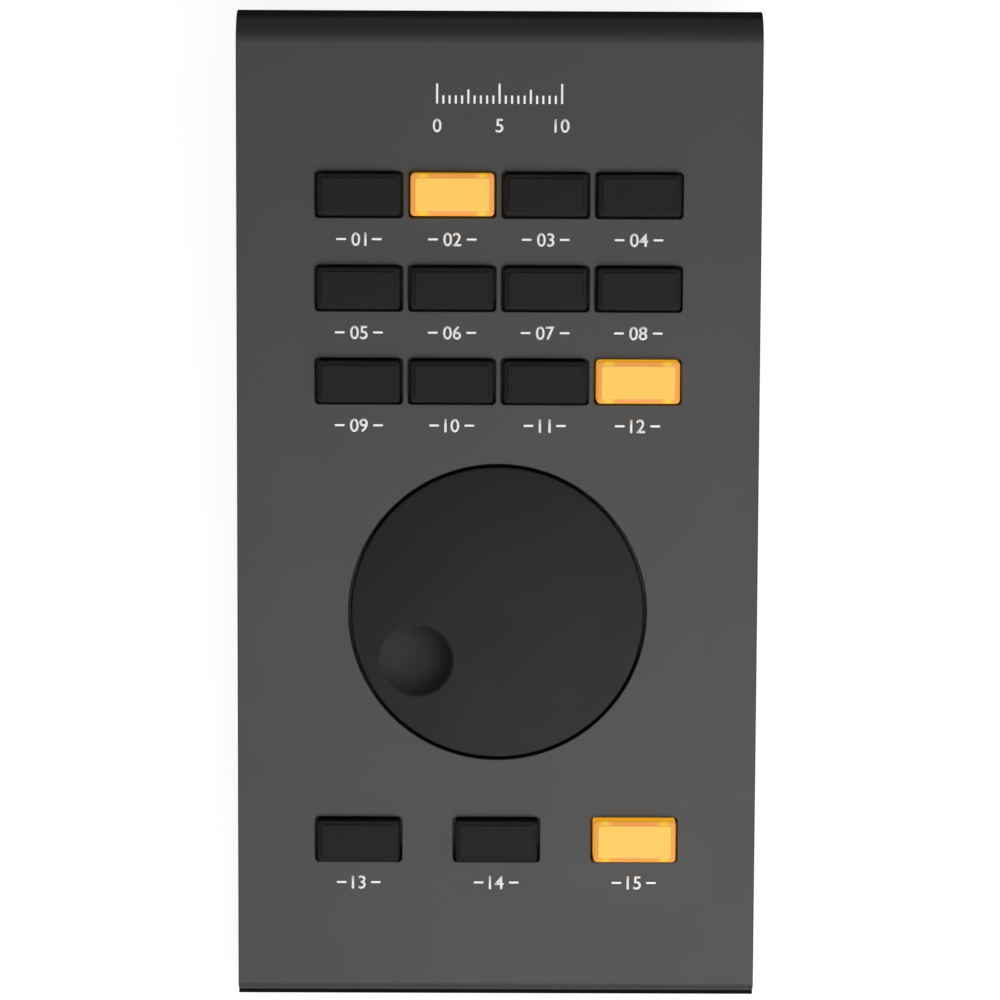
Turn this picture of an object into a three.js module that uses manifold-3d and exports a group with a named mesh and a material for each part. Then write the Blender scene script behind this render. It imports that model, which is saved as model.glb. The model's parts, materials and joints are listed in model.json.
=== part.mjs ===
// Desktop remote control: a wedge of bent sheet steel with fifteen keys and one large dial.
// Millimetres, +X to the right, +Y to the back, +Z up, origin at the bottom centre.
// Panel coordinates are used for what sits on the sloping panel: x to the right, y up the
// slope from the centre of the top row of keys, z out of the panel's surface.
import * as THREE from 'three';
import { mergeVertices } from 'three/addons/utils/BufferGeometryUtils.js';
import { ConvexGeometry } from 'three/addons/geometries/ConvexGeometry.js';
import Module from 'manifold-3d';

const wasm = await Module();
wasm.setup();

// Housing
const bodyWidth = 107.2;
const slopeDegrees = 12;
const sheet = 1.5;
const frontCornerHeight = 13.5;
const bottomRowToFrontCorner = 31.85;
const rowOneToRearBend = 30.5;
const frontInsideBend = 0.5;
const rearInsideBend = 5.3;
const fitGap = 0.3;
const cutOverrun = 1;

// Base tray and its feet
const trayThickness = 1.5;
const trayReach = 0.8;
const trayLipDrop = 0.3;
const sideWallThickness = 1.2;
const footHeight = 3;
const footRadius = 6;
const footEdgeRound = 0.6;
const footWeb = 1.2;
const footMargin = 0.5;
const footSideMargin = 3.2;
const footScrewRadius = 1.5;
const footScrewHeadRadius = 2.8;
const footScrewHeadHeight = 1.4;
const footScrewTail = 2.5;
const driveRadius = 1.3;
const driveDepth = 0.8;

// Keys and their switches
const keyPitch = 19.05;
const keyColumns = 4;
const keyRows = 3;
const bottomRowPitches = 7;
const keyWindowWidth = 18;
const keyWindowLength = 9.66;
const keyWindowCorner = 0.7;
const keyGap = 0.49;
const keyStand = 2.8;
const keyTravel = 1;
const keyWall = 1;
const keyRoof = 1.4;
const keyCorner = 0.8;
const keyEdgeWidth = 0.9;
const keyEdgeDrop = 0.6;
const keyFaceCorner = 0.3;
const keySkirtDepth = 3.2;
const stemWidth = 4.4;
const stemLength = 2.6;
const stemGrip = 3.2;
const switchClearance = 0.7;
const switchMargin = 1.2;
const lampSeat = 0.8;
const lampWidth = 2.2;
const lampHeight = 0.8;

// Dial and encoder
const dialBelowMiddle = 0.16;
const dialRadius = 30.2;
const dialHoleGap = 0.5;
const dialStand = 0.8;
const dialThickness = 3.2;
const dialEdge = 0.3;
const dialHubRadius = 6;
const dialHubDrop = 0.4;
const dialBoreRoof = 1;
const dimpleRadius = 7.5;
const dimpleDepth = 1.2;
const dimpleFromCentre = 19.4;
const dimpleDegrees = 211;
const encoderSide = 13.2;
const encoderHeight = 6.2;
const encoderFloor = 0.8;
const bushingRadius = 3.5;
const shaftRadius = 2.95;
const shaftRunningGap = 0.15;
const shaftFlat = 1.6;

// Main board, hung under the panel on four studs
const boardDrop = 11;
const boardThickness = 1.6;
const boardRearMargin = 4.2;
const boardFrontMargin = 2.8;
const boardSideGap = 6.3;
const standoffRadius = 2.5;
const standoffEdge = 3.5;
const rearStudFromRowOne = 10;
const frontStudFromBottomRow = 15.35;
const studRadius = 1.4;
const studTail = 0.8;
const boardNutFlats = 5;
const boardNutThickness = 2.2;
const chipSide = 12;
const chipHeight = 1.2;
const chipGap = 8;
const headerWidth = 15;
const headerLength = 5.6;
const headerHeight = 6;
const headerFromRowOne = 5;

// Rear board with its sockets
const rearBoardSideGap = 10.3;
const rearHeaderMargin = 1;
const rearBoardHeight = 12;
const rearStandoffEdge = 6;
const rearStandoffFromWall = 24;
const rearStandoffRadius = 3;
const rearScrewRadius = 1.25;
const rearScrewHeadRadius = 2.4;
const rearScrewHeadHeight = 1.6;
const rearScrewLength = 6;
const usbScrewGap = 5.6;
const usbWidth = 12;
const usbHeight = 10.9;
const usbLength = 16.4;
const usbReach = 0.4;
const usbMouthWidth = 8.5;
const usbMouthHeight = 7.8;
const usbMouthDepth = 13;
const usbTongueWidth = 5.6;
const usbTongueHeight = 3.2;
const usbTongueRecess = 5;
const jackScrewGap = 3.6;
const jackWidth = 16;
const jackHeight = 14;
const jackLength = 26;
const jackNoseRadius = 4.7;
const jackNoseReach = 2.6;
const jackBoreRadius = 3.3;
const jackBoreDepth = 25;
const jackNutFlats = 13;
const jackNutThickness = 2;
const ribbonWidth = 12.7;
const ribbonThickness = 1;
const ribbonLoop = 17;
const ribbonDropFromHeaderTop = 2;

// Counts of sides and steps
const roundSides = 16;
const smallSides = 12;
const hexSides = 6;
const dialSides = 80;
const shaftSides = 24;
const frontBendSteps = 4;
const rearBendSteps = 9;
const ribbonSteps = 14;
const cornerSteps = 2;
const dimpleSides = 32;
const dimpleRings = 28;

// Places worked out from the sizes above
const slope = THREE.MathUtils.degToRad(slopeDegrees);
const slopeCos = Math.cos(slope);
const slopeSin = Math.sin(slope);
const frontBend = frontInsideBend + sheet;
const rearBend = rearInsideBend + sheet;
const bottomRowY = -bottomRowPitches * keyPitch;
const rowOneToFrontCorner = bottomRowToFrontCorner - bottomRowY;
const frontFromRowOne = rowOneToFrontCorner * slopeCos;
const rearFromRowOne = rowOneToRearBend * slopeCos + rearBend * slopeSin + rearBend;
const rowOneY = (frontFromRowOne + trayReach - rearFromRowOne - jackNoseReach) / 2;
const rowOneZ = frontCornerHeight + rowOneToFrontCorner * slopeSin;
const frontY = rowOneY - frontFromRowOne;
const rearY = rowOneY + rearFromRowOne;
const trayTop = footHeight + trayThickness;
const frontBendReach = frontBend * Math.tan((Math.PI / 2 - slope) / 2);
const frontBendZ = frontCornerHeight + frontBendReach * slopeSin - frontBend * slopeCos;
const halfWidth = bodyWidth / 2;
const innerHalfWidth = halfWidth - sideWallThickness;
const flangeDepth = sheet + footMargin + 2 * footRadius;
const footX = innerHalfWidth - footSideMargin - footRadius;
const footFromEnd = flangeDepth - footRadius;
const boardTop = -boardDrop;
const boardUnder = boardTop - boardThickness;
const standoffX = innerHalfWidth - boardSideGap - standoffEdge;
const boardHalfWidth = innerHalfWidth - boardSideGap;
const capWidth = keyWindowWidth - 2 * keyGap;
const capLength = keyWindowLength - 2 * keyGap;
const switchTop = -(keySkirtDepth + keyTravel + switchClearance);
const stemBottom = switchTop - stemGrip;
const rowThreeY = (1 - keyRows) * keyPitch;
const dialY = (rowThreeY + bottomRowY) / 2 - dialBelowMiddle;
const dialUnder = dialStand - dialThickness;
const bushingTop = dialUnder - dialHubDrop - fitGap;
const chipY = dialY - (encoderSide + chipSide) / 2 - chipGap;
const rearBoardHalfWidth = innerHalfWidth - rearBoardSideGap;
const rearStandoffX = rearBoardHalfWidth - rearStandoffEdge;
const socketsX = rearStandoffX - rearScrewHeadRadius;
const usbX = socketsX - usbScrewGap - usbWidth / 2;
const jackX = jackWidth / 2 + jackScrewGap - socketsX;
const rearBoardTop = rearBoardHeight + boardThickness;
const rearWallInside = rearY - sheet;
const rearBoardLength = jackLength + headerLength + 2 * rearHeaderMargin;
const rearHeaderY = rearWallInside - fitGap - jackLength - rearHeaderMargin - headerLength / 2;

const panelFrame = new THREE.Matrix4().makeRotationX(slope).setPosition(0, rowOneY, rowOneZ);
const acrossFrame = new THREE.Matrix4().makeBasis(
  new THREE.Vector3(0, 1, 0), new THREE.Vector3(0, 0, 1), new THREE.Vector3(1, 0, 0),
);

const finishes = {
  shell: { color: 0x56575a, roughness: 0.45, metalness: 0.1 },
  tray: { color: 0x151517, roughness: 0.6, metalness: 0.1 },
  foot: { color: 0x1b1b1c, roughness: 0.9, metalness: 0 },
  key: { color: 0x26272a, roughness: 0.4, metalness: 0 },
  litKey: { color: 0xfdbf4c, roughness: 0.4, metalness: 0, emissive: 0xd98a20 },
  dial: { color: 0x222325, roughness: 0.5, metalness: 0 },
  board: { color: 0x14532f, roughness: 0.5, metalness: 0 },
  plastic: { color: 0x1d1e20, roughness: 0.6, metalness: 0 },
  steel: { color: 0xb8babd, roughness: 0.3, metalness: 1 },
  ribbon: { color: 0x9a9ca0, roughness: 0.6, metalness: 0 },
};

const remote = new THREE.Group();
const panel = new THREE.Group();
panel.applyMatrix4(panelFrame);
remote.add(panel);

// Turns a closed geometry into a solid that can be cut and joined.
function solid(geometry) {
  const bare = geometry.clone();
  bare.deleteAttribute('normal');
  bare.deleteAttribute('uv');
  const merged = mergeVertices(bare);
  const corners = merged.index.array;
  const triangles = [];
  for (let i = 0; i < corners.length; i += 3) {
    const [a, b, c] = corners.slice(i, i + 3);
    if (a !== b && b !== c && c !== a) triangles.push(a, b, c);
  }
  return new wasm.Manifold(new wasm.Mesh({
    numProp: 3,
    vertProperties: new Float32Array(merged.attributes.position.array),
    triVerts: new Uint32Array(triangles),
  }));
}

function joined(solids) {
  return solids.reduce((whole, next) => whole.add(next));
}

function cut(body, cutters) {
  return cutters.reduce((rest, next) => rest.subtract(next), body);
}

// Adds a solid to a group as a mesh with its own name and material.
function addPart(group, name, body, finish) {
  const data = body.getMesh();
  const geometry = new THREE.BufferGeometry();
  geometry.setAttribute('position', new THREE.BufferAttribute(data.vertProperties, data.numProp));
  geometry.setIndex(new THREE.BufferAttribute(data.triVerts, 1));
  geometry.computeVertexNormals();
  const mesh = new THREE.Mesh(geometry, new THREE.MeshStandardMaterial(finishes[finish]));
  mesh.name = name;
  group.add(mesh);
  return mesh;
}

// A box of a width and a length about a centre, between two heights.
function block(width, length, low, high, x = 0, y = 0) {
  return solid(new THREE.BoxGeometry(width, length, high - low).translate(x, y, (low + high) / 2));
}

// A round post about a vertical axis, between two heights.
function post(radius, low, high, x = 0, y = 0, sides = roundSides) {
  const geometry = new THREE.CylinderGeometry(radius, radius, high - low, sides);
  return solid(geometry.rotateX(Math.PI / 2).translate(x, y, (low + high) / 2));
}

// A round bar along Y, between two places.
function bar(radius, from, to, x, z, sides = roundSides) {
  const geometry = new THREE.CylinderGeometry(radius, radius, to - from, sides);
  return solid(geometry.translate(x, (from + to) / 2, z));
}

// A turned piece: its profile is a list of radius and height, from axis to axis.
function turned(profile, sides) {
  const points = profile.map(([radius, height]) => new THREE.Vector2(radius, height));
  return solid(new THREE.LatheGeometry(points, sides).rotateX(Math.PI / 2));
}

function hexRadius(flats) {
  return flats / Math.sqrt(3);
}

function roundedRectangle(width, length, radius) {
  const x = width / 2;
  const y = length / 2;
  const shape = new THREE.Shape();
  shape.absarc(x - radius, y - radius, radius, 0, Math.PI / 2);
  shape.absarc(radius - x, y - radius, radius, Math.PI / 2, Math.PI);
  shape.absarc(radius - x, radius - y, radius, Math.PI, Math.PI * 1.5);
  shape.absarc(x - radius, radius - y, radius, Math.PI * 1.5, Math.PI * 2);
  return shape;
}

// Points of an arc in the plane of y and z, from one angle to another.
function arc(centre, radius, from, to, steps) {
  return Array.from({ length: steps + 1 }, (_, i) => {
    const angle = from + (to - from) * (i / steps);
    return new THREE.Vector2(
      centre.x + radius * Math.cos(angle),
      centre.y + radius * Math.sin(angle),
    );
  });
}

// The wedge's outline in the plane of y and z, from the bottom of the front wall over the
// panel to the bottom of the rear wall, at a depth inside the outer faces.
function wedgeOutline(depth, low) {
  const panelAngle = Math.PI / 2 + slope;
  const frontCentre = new THREE.Vector2(frontY + frontBend, frontBendZ);
  const rearCentre = new THREE.Vector2(
    rearY - rearBend,
    rowOneZ + rowOneToRearBend * slopeSin - rearBend * slopeCos,
  );
  return [
    new THREE.Vector2(frontY + depth, low),
    ...arc(frontCentre, frontBend - depth, Math.PI, panelAngle, frontBendSteps),
    ...arc(rearCentre, rearBend - depth, panelAngle, 0, rearBendSteps),
    new THREE.Vector2(rearY - depth, low),
  ];
}

// An outline in the plane of y and z, given a width along x about a centre.
function slab(outline, width, x = 0) {
  const options = { depth: width, bevelEnabled: false };
  const geometry = new THREE.ExtrudeGeometry(new THREE.Shape(outline), options);
  return solid(geometry.translate(0, 0, x - width / 2).applyMatrix4(acrossFrame));
}

function keyPlaces() {
  const places = [];
  for (let row = 0; row < keyRows; row += 1) {
    for (let column = 0; column < keyColumns; column += 1) {
      places.push([(column - (keyColumns - 1) / 2) * keyPitch, -row * keyPitch]);
    }
  }
  const outer = (keyColumns - 1) * keyPitch / 2;
  return [...places, [-outer, bottomRowY], [0, bottomRowY], [outer, bottomRowY]];
}

function standoffPlaces() {
  return [-standoffX, standoffX].flatMap((x) => [
    [x, -rearStudFromRowOne],
    [x, bottomRowY + frontStudFromBottomRow],
  ]);
}

function footPlaces() {
  return [-footX, footX].flatMap((x) => [
    [x, frontY + footFromEnd],
    [x, rearY - footFromEnd],
  ]);
}

function rearScrewPlaces() {
  const y = rearY - rearStandoffFromWall;
  return [[-rearStandoffX, y], [rearStandoffX, y]];
}

// Top shell: one bent sheet with its front lip, rear wall, return flanges and board studs.
function makeTopShell() {
  const outer = wedgeOutline(0, trayTop);
  const inner = wedgeOutline(sheet, trayTop).reverse();
  const skin = slab([...outer, ...inner], bodyWidth);
  const flangeWidth = 2 * (innerHalfWidth - fitGap);
  const flangeReach = flangeDepth - sheet / 2;
  const flangeTop = trayTop + sheet;
  const flangeCentre = (flangeDepth + sheet / 2) / 2;
  const flanges = [frontY + flangeCentre, rearY - flangeCentre].map(
    (y) => block(flangeWidth, flangeReach, trayTop, flangeTop, 0, y),
  );
  const studEnd = boardUnder - fitGap - boardNutThickness - studTail;
  const studs = standoffPlaces().flatMap(([x, y]) => [
    post(standoffRadius, boardTop + fitGap, -sheet / 2, x, y),
    post(studRadius, studEnd, -sheet, x, y, smallSides),
  ]);
  const windowShape = roundedRectangle(keyWindowWidth, keyWindowLength, keyWindowCorner);
  const windowOptions = {
    depth: sheet + 2 * cutOverrun, bevelEnabled: false, curveSegments: cornerSteps,
  };
  const windows = keyPlaces().map(([x, y]) => solid(
    new THREE.ExtrudeGeometry(windowShape, windowOptions).translate(x, y, -sheet - cutOverrun),
  ));
  const dialHole = post(
    dialRadius + dialHoleGap, -sheet - cutOverrun, cutOverrun, 0, dialY, dialSides,
  );
  const frameArray = panelFrame.toArray();
  const placedStuds = studs.map((stud) => stud.transform(frameArray));
  const placedCuts = [...windows, dialHole].map((cutter) => cutter.transform(frameArray));
  const footHoles = footPlaces().map(([x, y]) => post(
    footScrewRadius + fitGap, trayTop - cutOverrun, flangeTop + cutOverrun, x, y, smallSides,
  ));
  const wallCutLength = sheet + 2 * cutOverrun;
  const usbHole = block(
    usbWidth + 2 * fitGap, wallCutLength,
    rearBoardTop - fitGap, rearBoardTop + usbHeight + fitGap,
    usbX, rearY - sheet / 2,
  );
  const jackHole = bar(
    jackNoseRadius + fitGap, rearWallInside - cutOverrun, rearY + cutOverrun,
    jackX, rearBoardTop + jackHeight / 2,
  );
  const whole = joined([skin, ...flanges, ...placedStuds]);
  return cut(whole, [...placedCuts, ...footHoles, usbHole, jackHole]);
}

// Base tray: floor with a thin front lip, two side walls and the rear board's stand-offs.
function makeBaseTray() {
  const lipTop = frontBendZ - trayLipDrop;
  const floor = slab([
    new THREE.Vector2(frontY - trayReach, footHeight),
    new THREE.Vector2(rearY, footHeight),
    new THREE.Vector2(rearY, trayTop),
    new THREE.Vector2(frontY, trayTop),
    new THREE.Vector2(frontY, lipTop),
    new THREE.Vector2(frontY - trayReach, lipTop),
  ], bodyWidth);
  const sideOutline = wedgeOutline(sheet + fitGap, footHeight + trayThickness / 2);
  const sideX = halfWidth - sideWallThickness / 2;
  const sides = [-sideX, sideX].map((x) => slab(sideOutline, sideWallThickness, x));
  const standoffs = rearScrewPlaces().map(([x, y]) => post(
    rearStandoffRadius, footHeight + trayThickness / 2, rearBoardHeight, x, y,
  ));
  const footHoles = footPlaces().map(([x, y]) => post(
    footScrewRadius + fitGap, footHeight - cutOverrun, trayTop + cutOverrun, x, y, smallSides,
  ));
  const screwHoles = rearScrewPlaces().map(([x, y]) => post(
    rearScrewRadius + fitGap, rearBoardTop - rearScrewLength - fitGap,
    rearBoardHeight + cutOverrun, x, y, smallSides,
  ));
  return cut(joined([floor, ...sides, ...standoffs]), [...footHoles, ...screwHoles]);
}

function makeFoot() {
  const shoulder = footHeight - footWeb;
  return turned([
    [footScrewRadius + fitGap, footHeight],
    [footScrewRadius + fitGap, shoulder],
    [footScrewHeadRadius + fitGap, shoulder],
    [footScrewHeadRadius + fitGap, 0],
    [footRadius - footEdgeRound, 0],
    [footRadius, footEdgeRound],
    [footRadius, footHeight],
    [footScrewRadius + fitGap, footHeight],
  ], roundSides);
}

// A screw with its head down, so that its shank rises from the head's seat.
function makeFootScrew() {
  const seat = footHeight - footWeb;
  const tip = trayTop + sheet + footScrewTail;
  const head = post(footScrewHeadRadius, seat - footScrewHeadHeight, seat);
  const shank = post(footScrewRadius, seat - driveDepth / 2, tip, 0, 0, smallSides);
  const driveTop = seat - footScrewHeadHeight + driveDepth;
  const drive = post(driveRadius, seat - footScrewHeadHeight - cutOverrun, driveTop, 0, 0, hexSides);
  return cut(joined([head, shank]), [drive]);
}

function makeRearScrew() {
  const seat = rearBoardTop;
  const head = post(rearScrewHeadRadius, seat, seat + rearScrewHeadHeight);
  const shank = post(rearScrewRadius, seat - rearScrewLength, seat + driveDepth / 2, 0, 0, smallSides);
  const driveLow = seat + rearScrewHeadHeight - driveDepth;
  const driveHigh = seat + rearScrewHeadHeight + cutOverrun;
  const drive = post(driveRadius, driveLow, driveHigh, 0, 0, hexSides);
  return cut(joined([head, shank]), [drive]);
}

// Key cap: a hollow cap with a sloped edge round its face and a stem inside.
function makeKeyCap() {
  const rim = roundedRectangle(capWidth, capLength, keyCorner).getPoints(cornerSteps);
  const face = roundedRectangle(
    capWidth - 2 * keyEdgeWidth, capLength - 2 * keyEdgeWidth, keyFaceCorner,
  ).getPoints(cornerSteps);
  const at = (points, z) => points.map((point) => new THREE.Vector3(point.x, point.y, z));
  const outside = solid(new ConvexGeometry([
    ...at(rim, -keySkirtDepth),
    ...at(rim, keyStand - keyEdgeDrop),
    ...at(face, keyStand),
  ]));
  const roofUnder = keyStand - keyRoof;
  const hollow = block(
    capWidth - 2 * keyWall, capLength - 2 * keyWall, -keySkirtDepth - cutOverrun, roofUnder,
  );
  const stem = block(stemWidth, stemLength, stemBottom, keyStand - keyRoof / 2);
  return cut(outside, [hollow]).add(stem);
}

// Key switch: its well takes the cap's stem, and two small lamps stand beside the well.
function makeKeySwitch() {
  const bodyWide = capWidth - 2 * switchMargin;
  const bodyLong = capLength - switchMargin;
  const bodyLow = boardTop + fitGap;
  const wellLow = stemBottom - keyTravel - fitGap;
  const body = block(bodyWide, bodyLong, bodyLow, switchTop);
  const well = block(
    stemWidth + 2 * fitGap, stemLength + 2 * fitGap, wellLow, switchTop + cutOverrun,
  );
  const lampX = (bodyWide + stemWidth) / 4;
  const lamps = [-lampX, lampX].map((x) => block(
    lampWidth, lampWidth, switchTop - lampSeat, switchTop + lampHeight, x,
  ));
  return joined([cut(body, [well]), ...lamps]);
}

// Dial: a disc with a hub for the flatted shaft and a finger dimple, sunk in the panel's hole.
function makeDial() {
  const top = dialStand;
  const wheel = turned([
    [0, top],
    [dialRadius - dialEdge, top],
    [dialRadius, top - dialEdge],
    [dialRadius, dialUnder],
    [dialHubRadius, dialUnder],
    [dialHubRadius, dialUnder - dialHubDrop],
    [0, dialUnder - dialHubDrop],
  ].reverse(), dialSides);
  const boreLow = dialUnder - dialHubDrop - cutOverrun;
  const bore = flattedPost(shaftRunningGap, boreLow, top - dialBoreRoof);
  const angle = THREE.MathUtils.degToRad(dimpleDegrees);
  const ballRadius = (dimpleRadius ** 2 + dimpleDepth ** 2) / (2 * dimpleDepth);
  const ball = new THREE.SphereGeometry(ballRadius, dimpleSides, dimpleRings);
  ball.rotateX(Math.PI / 2).translate(
    dimpleFromCentre * Math.cos(angle),
    dimpleFromCentre * Math.sin(angle),
    top - dimpleDepth + ballRadius,
  );
  return cut(wheel, [bore, solid(ball)]);
}

// A post with a flat along one side, larger all round by a gap.
function flattedPost(gap, low, high) {
  const radius = shaftRadius + gap;
  const width = radius - shaftFlat;
  const flatCut = block(
    width, 2 * radius, low - cutOverrun, high + cutOverrun, shaftFlat + gap + width / 2,
  );
  return cut(post(radius, low, high, 0, 0, shaftSides), [flatCut]);
}

function makeEncoderBody() {
  const low = boardTop + fitGap;
  const high = low + encoderHeight;
  const body = block(encoderSide, encoderSide, low, high);
  const bushing = post(bushingRadius, high - encoderFloor, bushingTop, 0, 0, shaftSides);
  const bore = post(
    shaftRadius + shaftRunningGap, low + encoderFloor, bushingTop + cutOverrun, 0, 0, shaftSides,
  );
  return cut(joined([body, bushing]), [bore]);
}

function makeEncoderShaft() {
  const low = boardTop + fitGap + encoderFloor + fitGap;
  const high = dialStand - dialBoreRoof - fitGap;
  const round = post(shaftRadius, low, bushingTop, 0, 0, shaftSides);
  return joined([round, flattedPost(0, bushingTop - encoderFloor, high)]);
}

// A hexagon nut with a clear hole, between two heights.
function makeNut(flats, holeRadius, low, high) {
  const hole = post(holeRadius, low - cutOverrun, high + cutOverrun, 0, 0, roundSides);
  return cut(post(hexRadius(flats), low, high, 0, 0, hexSides), [hole]);
}

function makeMainBoard() {
  const rear = keyWindowLength / 2 + boardRearMargin;
  const front = bottomRowY - keyWindowLength / 2 - boardFrontMargin;
  const board = block(
    2 * boardHalfWidth, rear - front, boardUnder, boardTop, 0, (rear + front) / 2,
  );
  const holes = standoffPlaces().map(([x, y]) => post(
    studRadius + fitGap, boardUnder - cutOverrun, boardTop + cutOverrun, x, y, smallSides,
  ));
  return cut(board, holes);
}

function makeRearBoard() {
  const y = rearWallInside - fitGap - rearBoardLength / 2;
  const board = block(
    2 * rearBoardHalfWidth, rearBoardLength, rearBoardHeight, rearBoardTop, 0, y,
  );
  const holes = rearScrewPlaces().map(([x, holeY]) => post(
    rearScrewRadius + fitGap, rearBoardHeight - cutOverrun, rearBoardTop + cutOverrun,
    x, holeY, smallSides,
  ));
  return cut(board, holes);
}

// Square data socket: a box with a mouth at the back and a tongue set inside it.
function makeUsbSocket() {
  const face = rearY + usbReach;
  const middle = rearBoardTop + usbHeight / 2;
  const body = block(
    usbWidth, usbLength, rearBoardTop, rearBoardTop + usbHeight, usbX, face - usbLength / 2,
  );
  const mouth = block(
    usbMouthWidth, usbMouthDepth + cutOverrun,
    middle - usbMouthHeight / 2, middle + usbMouthHeight / 2,
    usbX, face + (cutOverrun - usbMouthDepth) / 2,
  );
  const tongueBack = usbMouthDepth + (usbLength - usbMouthDepth) / 2;
  const tongue = block(
    usbTongueWidth, tongueBack - usbTongueRecess,
    middle - usbTongueHeight / 2, middle + usbTongueHeight / 2,
    usbX, face - (tongueBack + usbTongueRecess) / 2,
  );
  return cut(body, [mouth]).add(tongue);
}

function makeFootSwitchJack() {
  const face = rearWallInside - fitGap;
  const middle = rearBoardTop + jackHeight / 2;
  const nose = rearY + jackNoseReach;
  const body = block(
    jackWidth, jackLength, rearBoardTop, rearBoardTop + jackHeight,
    jackX, face - jackLength / 2,
  );
  const thread = bar(jackNoseRadius, face - sheet, nose, jackX, middle);
  const bore = bar(jackBoreRadius, nose - jackBoreDepth, nose + cutOverrun, jackX, middle);
  return cut(joined([body, thread]), [bore]);
}

function makeJackNut() {
  const middle = rearBoardTop + jackHeight / 2;
  const far = rearY + jackNutThickness;
  const hexagon = bar(hexRadius(jackNutFlats), rearY, far, jackX, middle, hexSides);
  const hole = bar(
    jackNoseRadius + fitGap, rearY - cutOverrun, far + cutOverrun,
    jackX, middle,
  );
  return cut(hexagon, [hole]);
}

// Ribbon cable: a flat strip on a smooth loop from the rear board's header to the main one.
function makeRibbonCable() {
  const start = new THREE.Vector2(
    rearHeaderY - headerLength / 2 - fitGap,
    rearBoardTop + headerHeight - ribbonDropFromHeaderTop,
  );
  const endAlong = -headerFromRowOne - headerLength / 2 - fitGap;
  const endOut = boardUnder - fitGap - headerHeight + ribbonDropFromHeaderTop;
  const end = new THREE.Vector2(
    rowOneY + endAlong * slopeCos - endOut * slopeSin,
    rowOneZ + endAlong * slopeSin + endOut * slopeCos,
  );
  const route = new THREE.CubicBezierCurve(
    start,
    new THREE.Vector2(start.x - ribbonLoop, start.y),
    new THREE.Vector2(end.x - ribbonLoop * slopeCos, end.y - ribbonLoop * slopeSin),
    end,
  );
  const side = (offset) => Array.from({ length: ribbonSteps + 1 }, (_, i) => {
    const share = i / ribbonSteps;
    const along = route.getTangent(share);
    return route.getPoint(share).add(new THREE.Vector2(-along.y, along.x).multiplyScalar(offset));
  });
  const outline = [...side(-ribbonThickness / 2), ...side(ribbonThickness / 2).reverse()];
  return slab(outline.reverse(), ribbonWidth);
}

addPart(remote, 'top_shell', makeTopShell(), 'shell');
addPart(remote, 'base_tray', makeBaseTray(), 'tray');

const foot = makeFoot();
const footScrew = makeFootScrew();
footPlaces().forEach(([x, y], i) => {
  addPart(remote, `foot_${i + 1}`, foot.translate([x, y, 0]), 'foot');
  addPart(remote, `foot_screw_${i + 1}`, footScrew.translate([x, y, 0]), 'steel');
});

addPart(remote, 'rear_board', makeRearBoard(), 'board');
const rearScrew = makeRearScrew();
rearScrewPlaces().forEach(([x, y], i) => {
  addPart(remote, `rear_board_screw_${i + 1}`, rearScrew.translate([x, y, 0]), 'steel');
});
addPart(remote, 'usb_socket', makeUsbSocket(), 'steel');
addPart(remote, 'foot_switch_jack', makeFootSwitchJack(), 'plastic');
addPart(remote, 'jack_nut', makeJackNut(), 'steel');
addPart(remote, 'rear_header', block(
  headerWidth, headerLength, rearBoardTop, rearBoardTop + headerHeight,
  0, rearHeaderY,
), 'plastic');
addPart(remote, 'ribbon_cable', makeRibbonCable(), 'ribbon');

addPart(panel, 'main_board', makeMainBoard(), 'board');
const boardNut = makeNut(
  boardNutFlats, studRadius + fitGap, boardUnder - fitGap - boardNutThickness, boardUnder - fitGap,
);
standoffPlaces().forEach(([x, y], i) => {
  addPart(panel, `board_nut_${i + 1}`, boardNut, 'steel').position.set(x, y, 0);
});
const mainHeaderTop = boardUnder - fitGap;
addPart(panel, 'main_header', block(
  headerWidth, headerLength, mainHeaderTop - headerHeight, mainHeaderTop, 0, -headerFromRowOne,
), 'plastic');
const chipLow = boardTop + fitGap;
addPart(panel, 'microcontroller', block(
  chipSide, chipSide, chipLow, chipLow + chipHeight, 0, chipY,
), 'plastic');

const dialStation = new THREE.Group();
dialStation.position.set(0, dialY, 0);
panel.add(dialStation);
addPart(dialStation, 'encoder_body', makeEncoderBody(), 'steel');
addPart(dialStation, 'encoder_shaft', makeEncoderShaft(), 'steel');
addPart(dialStation, 'dial_wheel', makeDial(), 'dial');

const litKeys = [2, 12, 15];
const keyCap = makeKeyCap();
const keySwitch = makeKeySwitch();
keyPlaces().forEach(([x, y], i) => {
  const number = String(i + 1).padStart(2, '0');
  const finish = litKeys.includes(i + 1) ? 'litKey' : 'key';
  addPart(panel, `key_cap_${number}`, keyCap, finish).position.set(x, y, 0);
  addPart(panel, `key_switch_${number}`, keySwitch, 'plastic').position.set(x, y, 0);
});

export default remote;
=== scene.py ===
import json
import math

import bmesh
import bpy
from mathutils import Matrix, Quaternion, Vector


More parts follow.
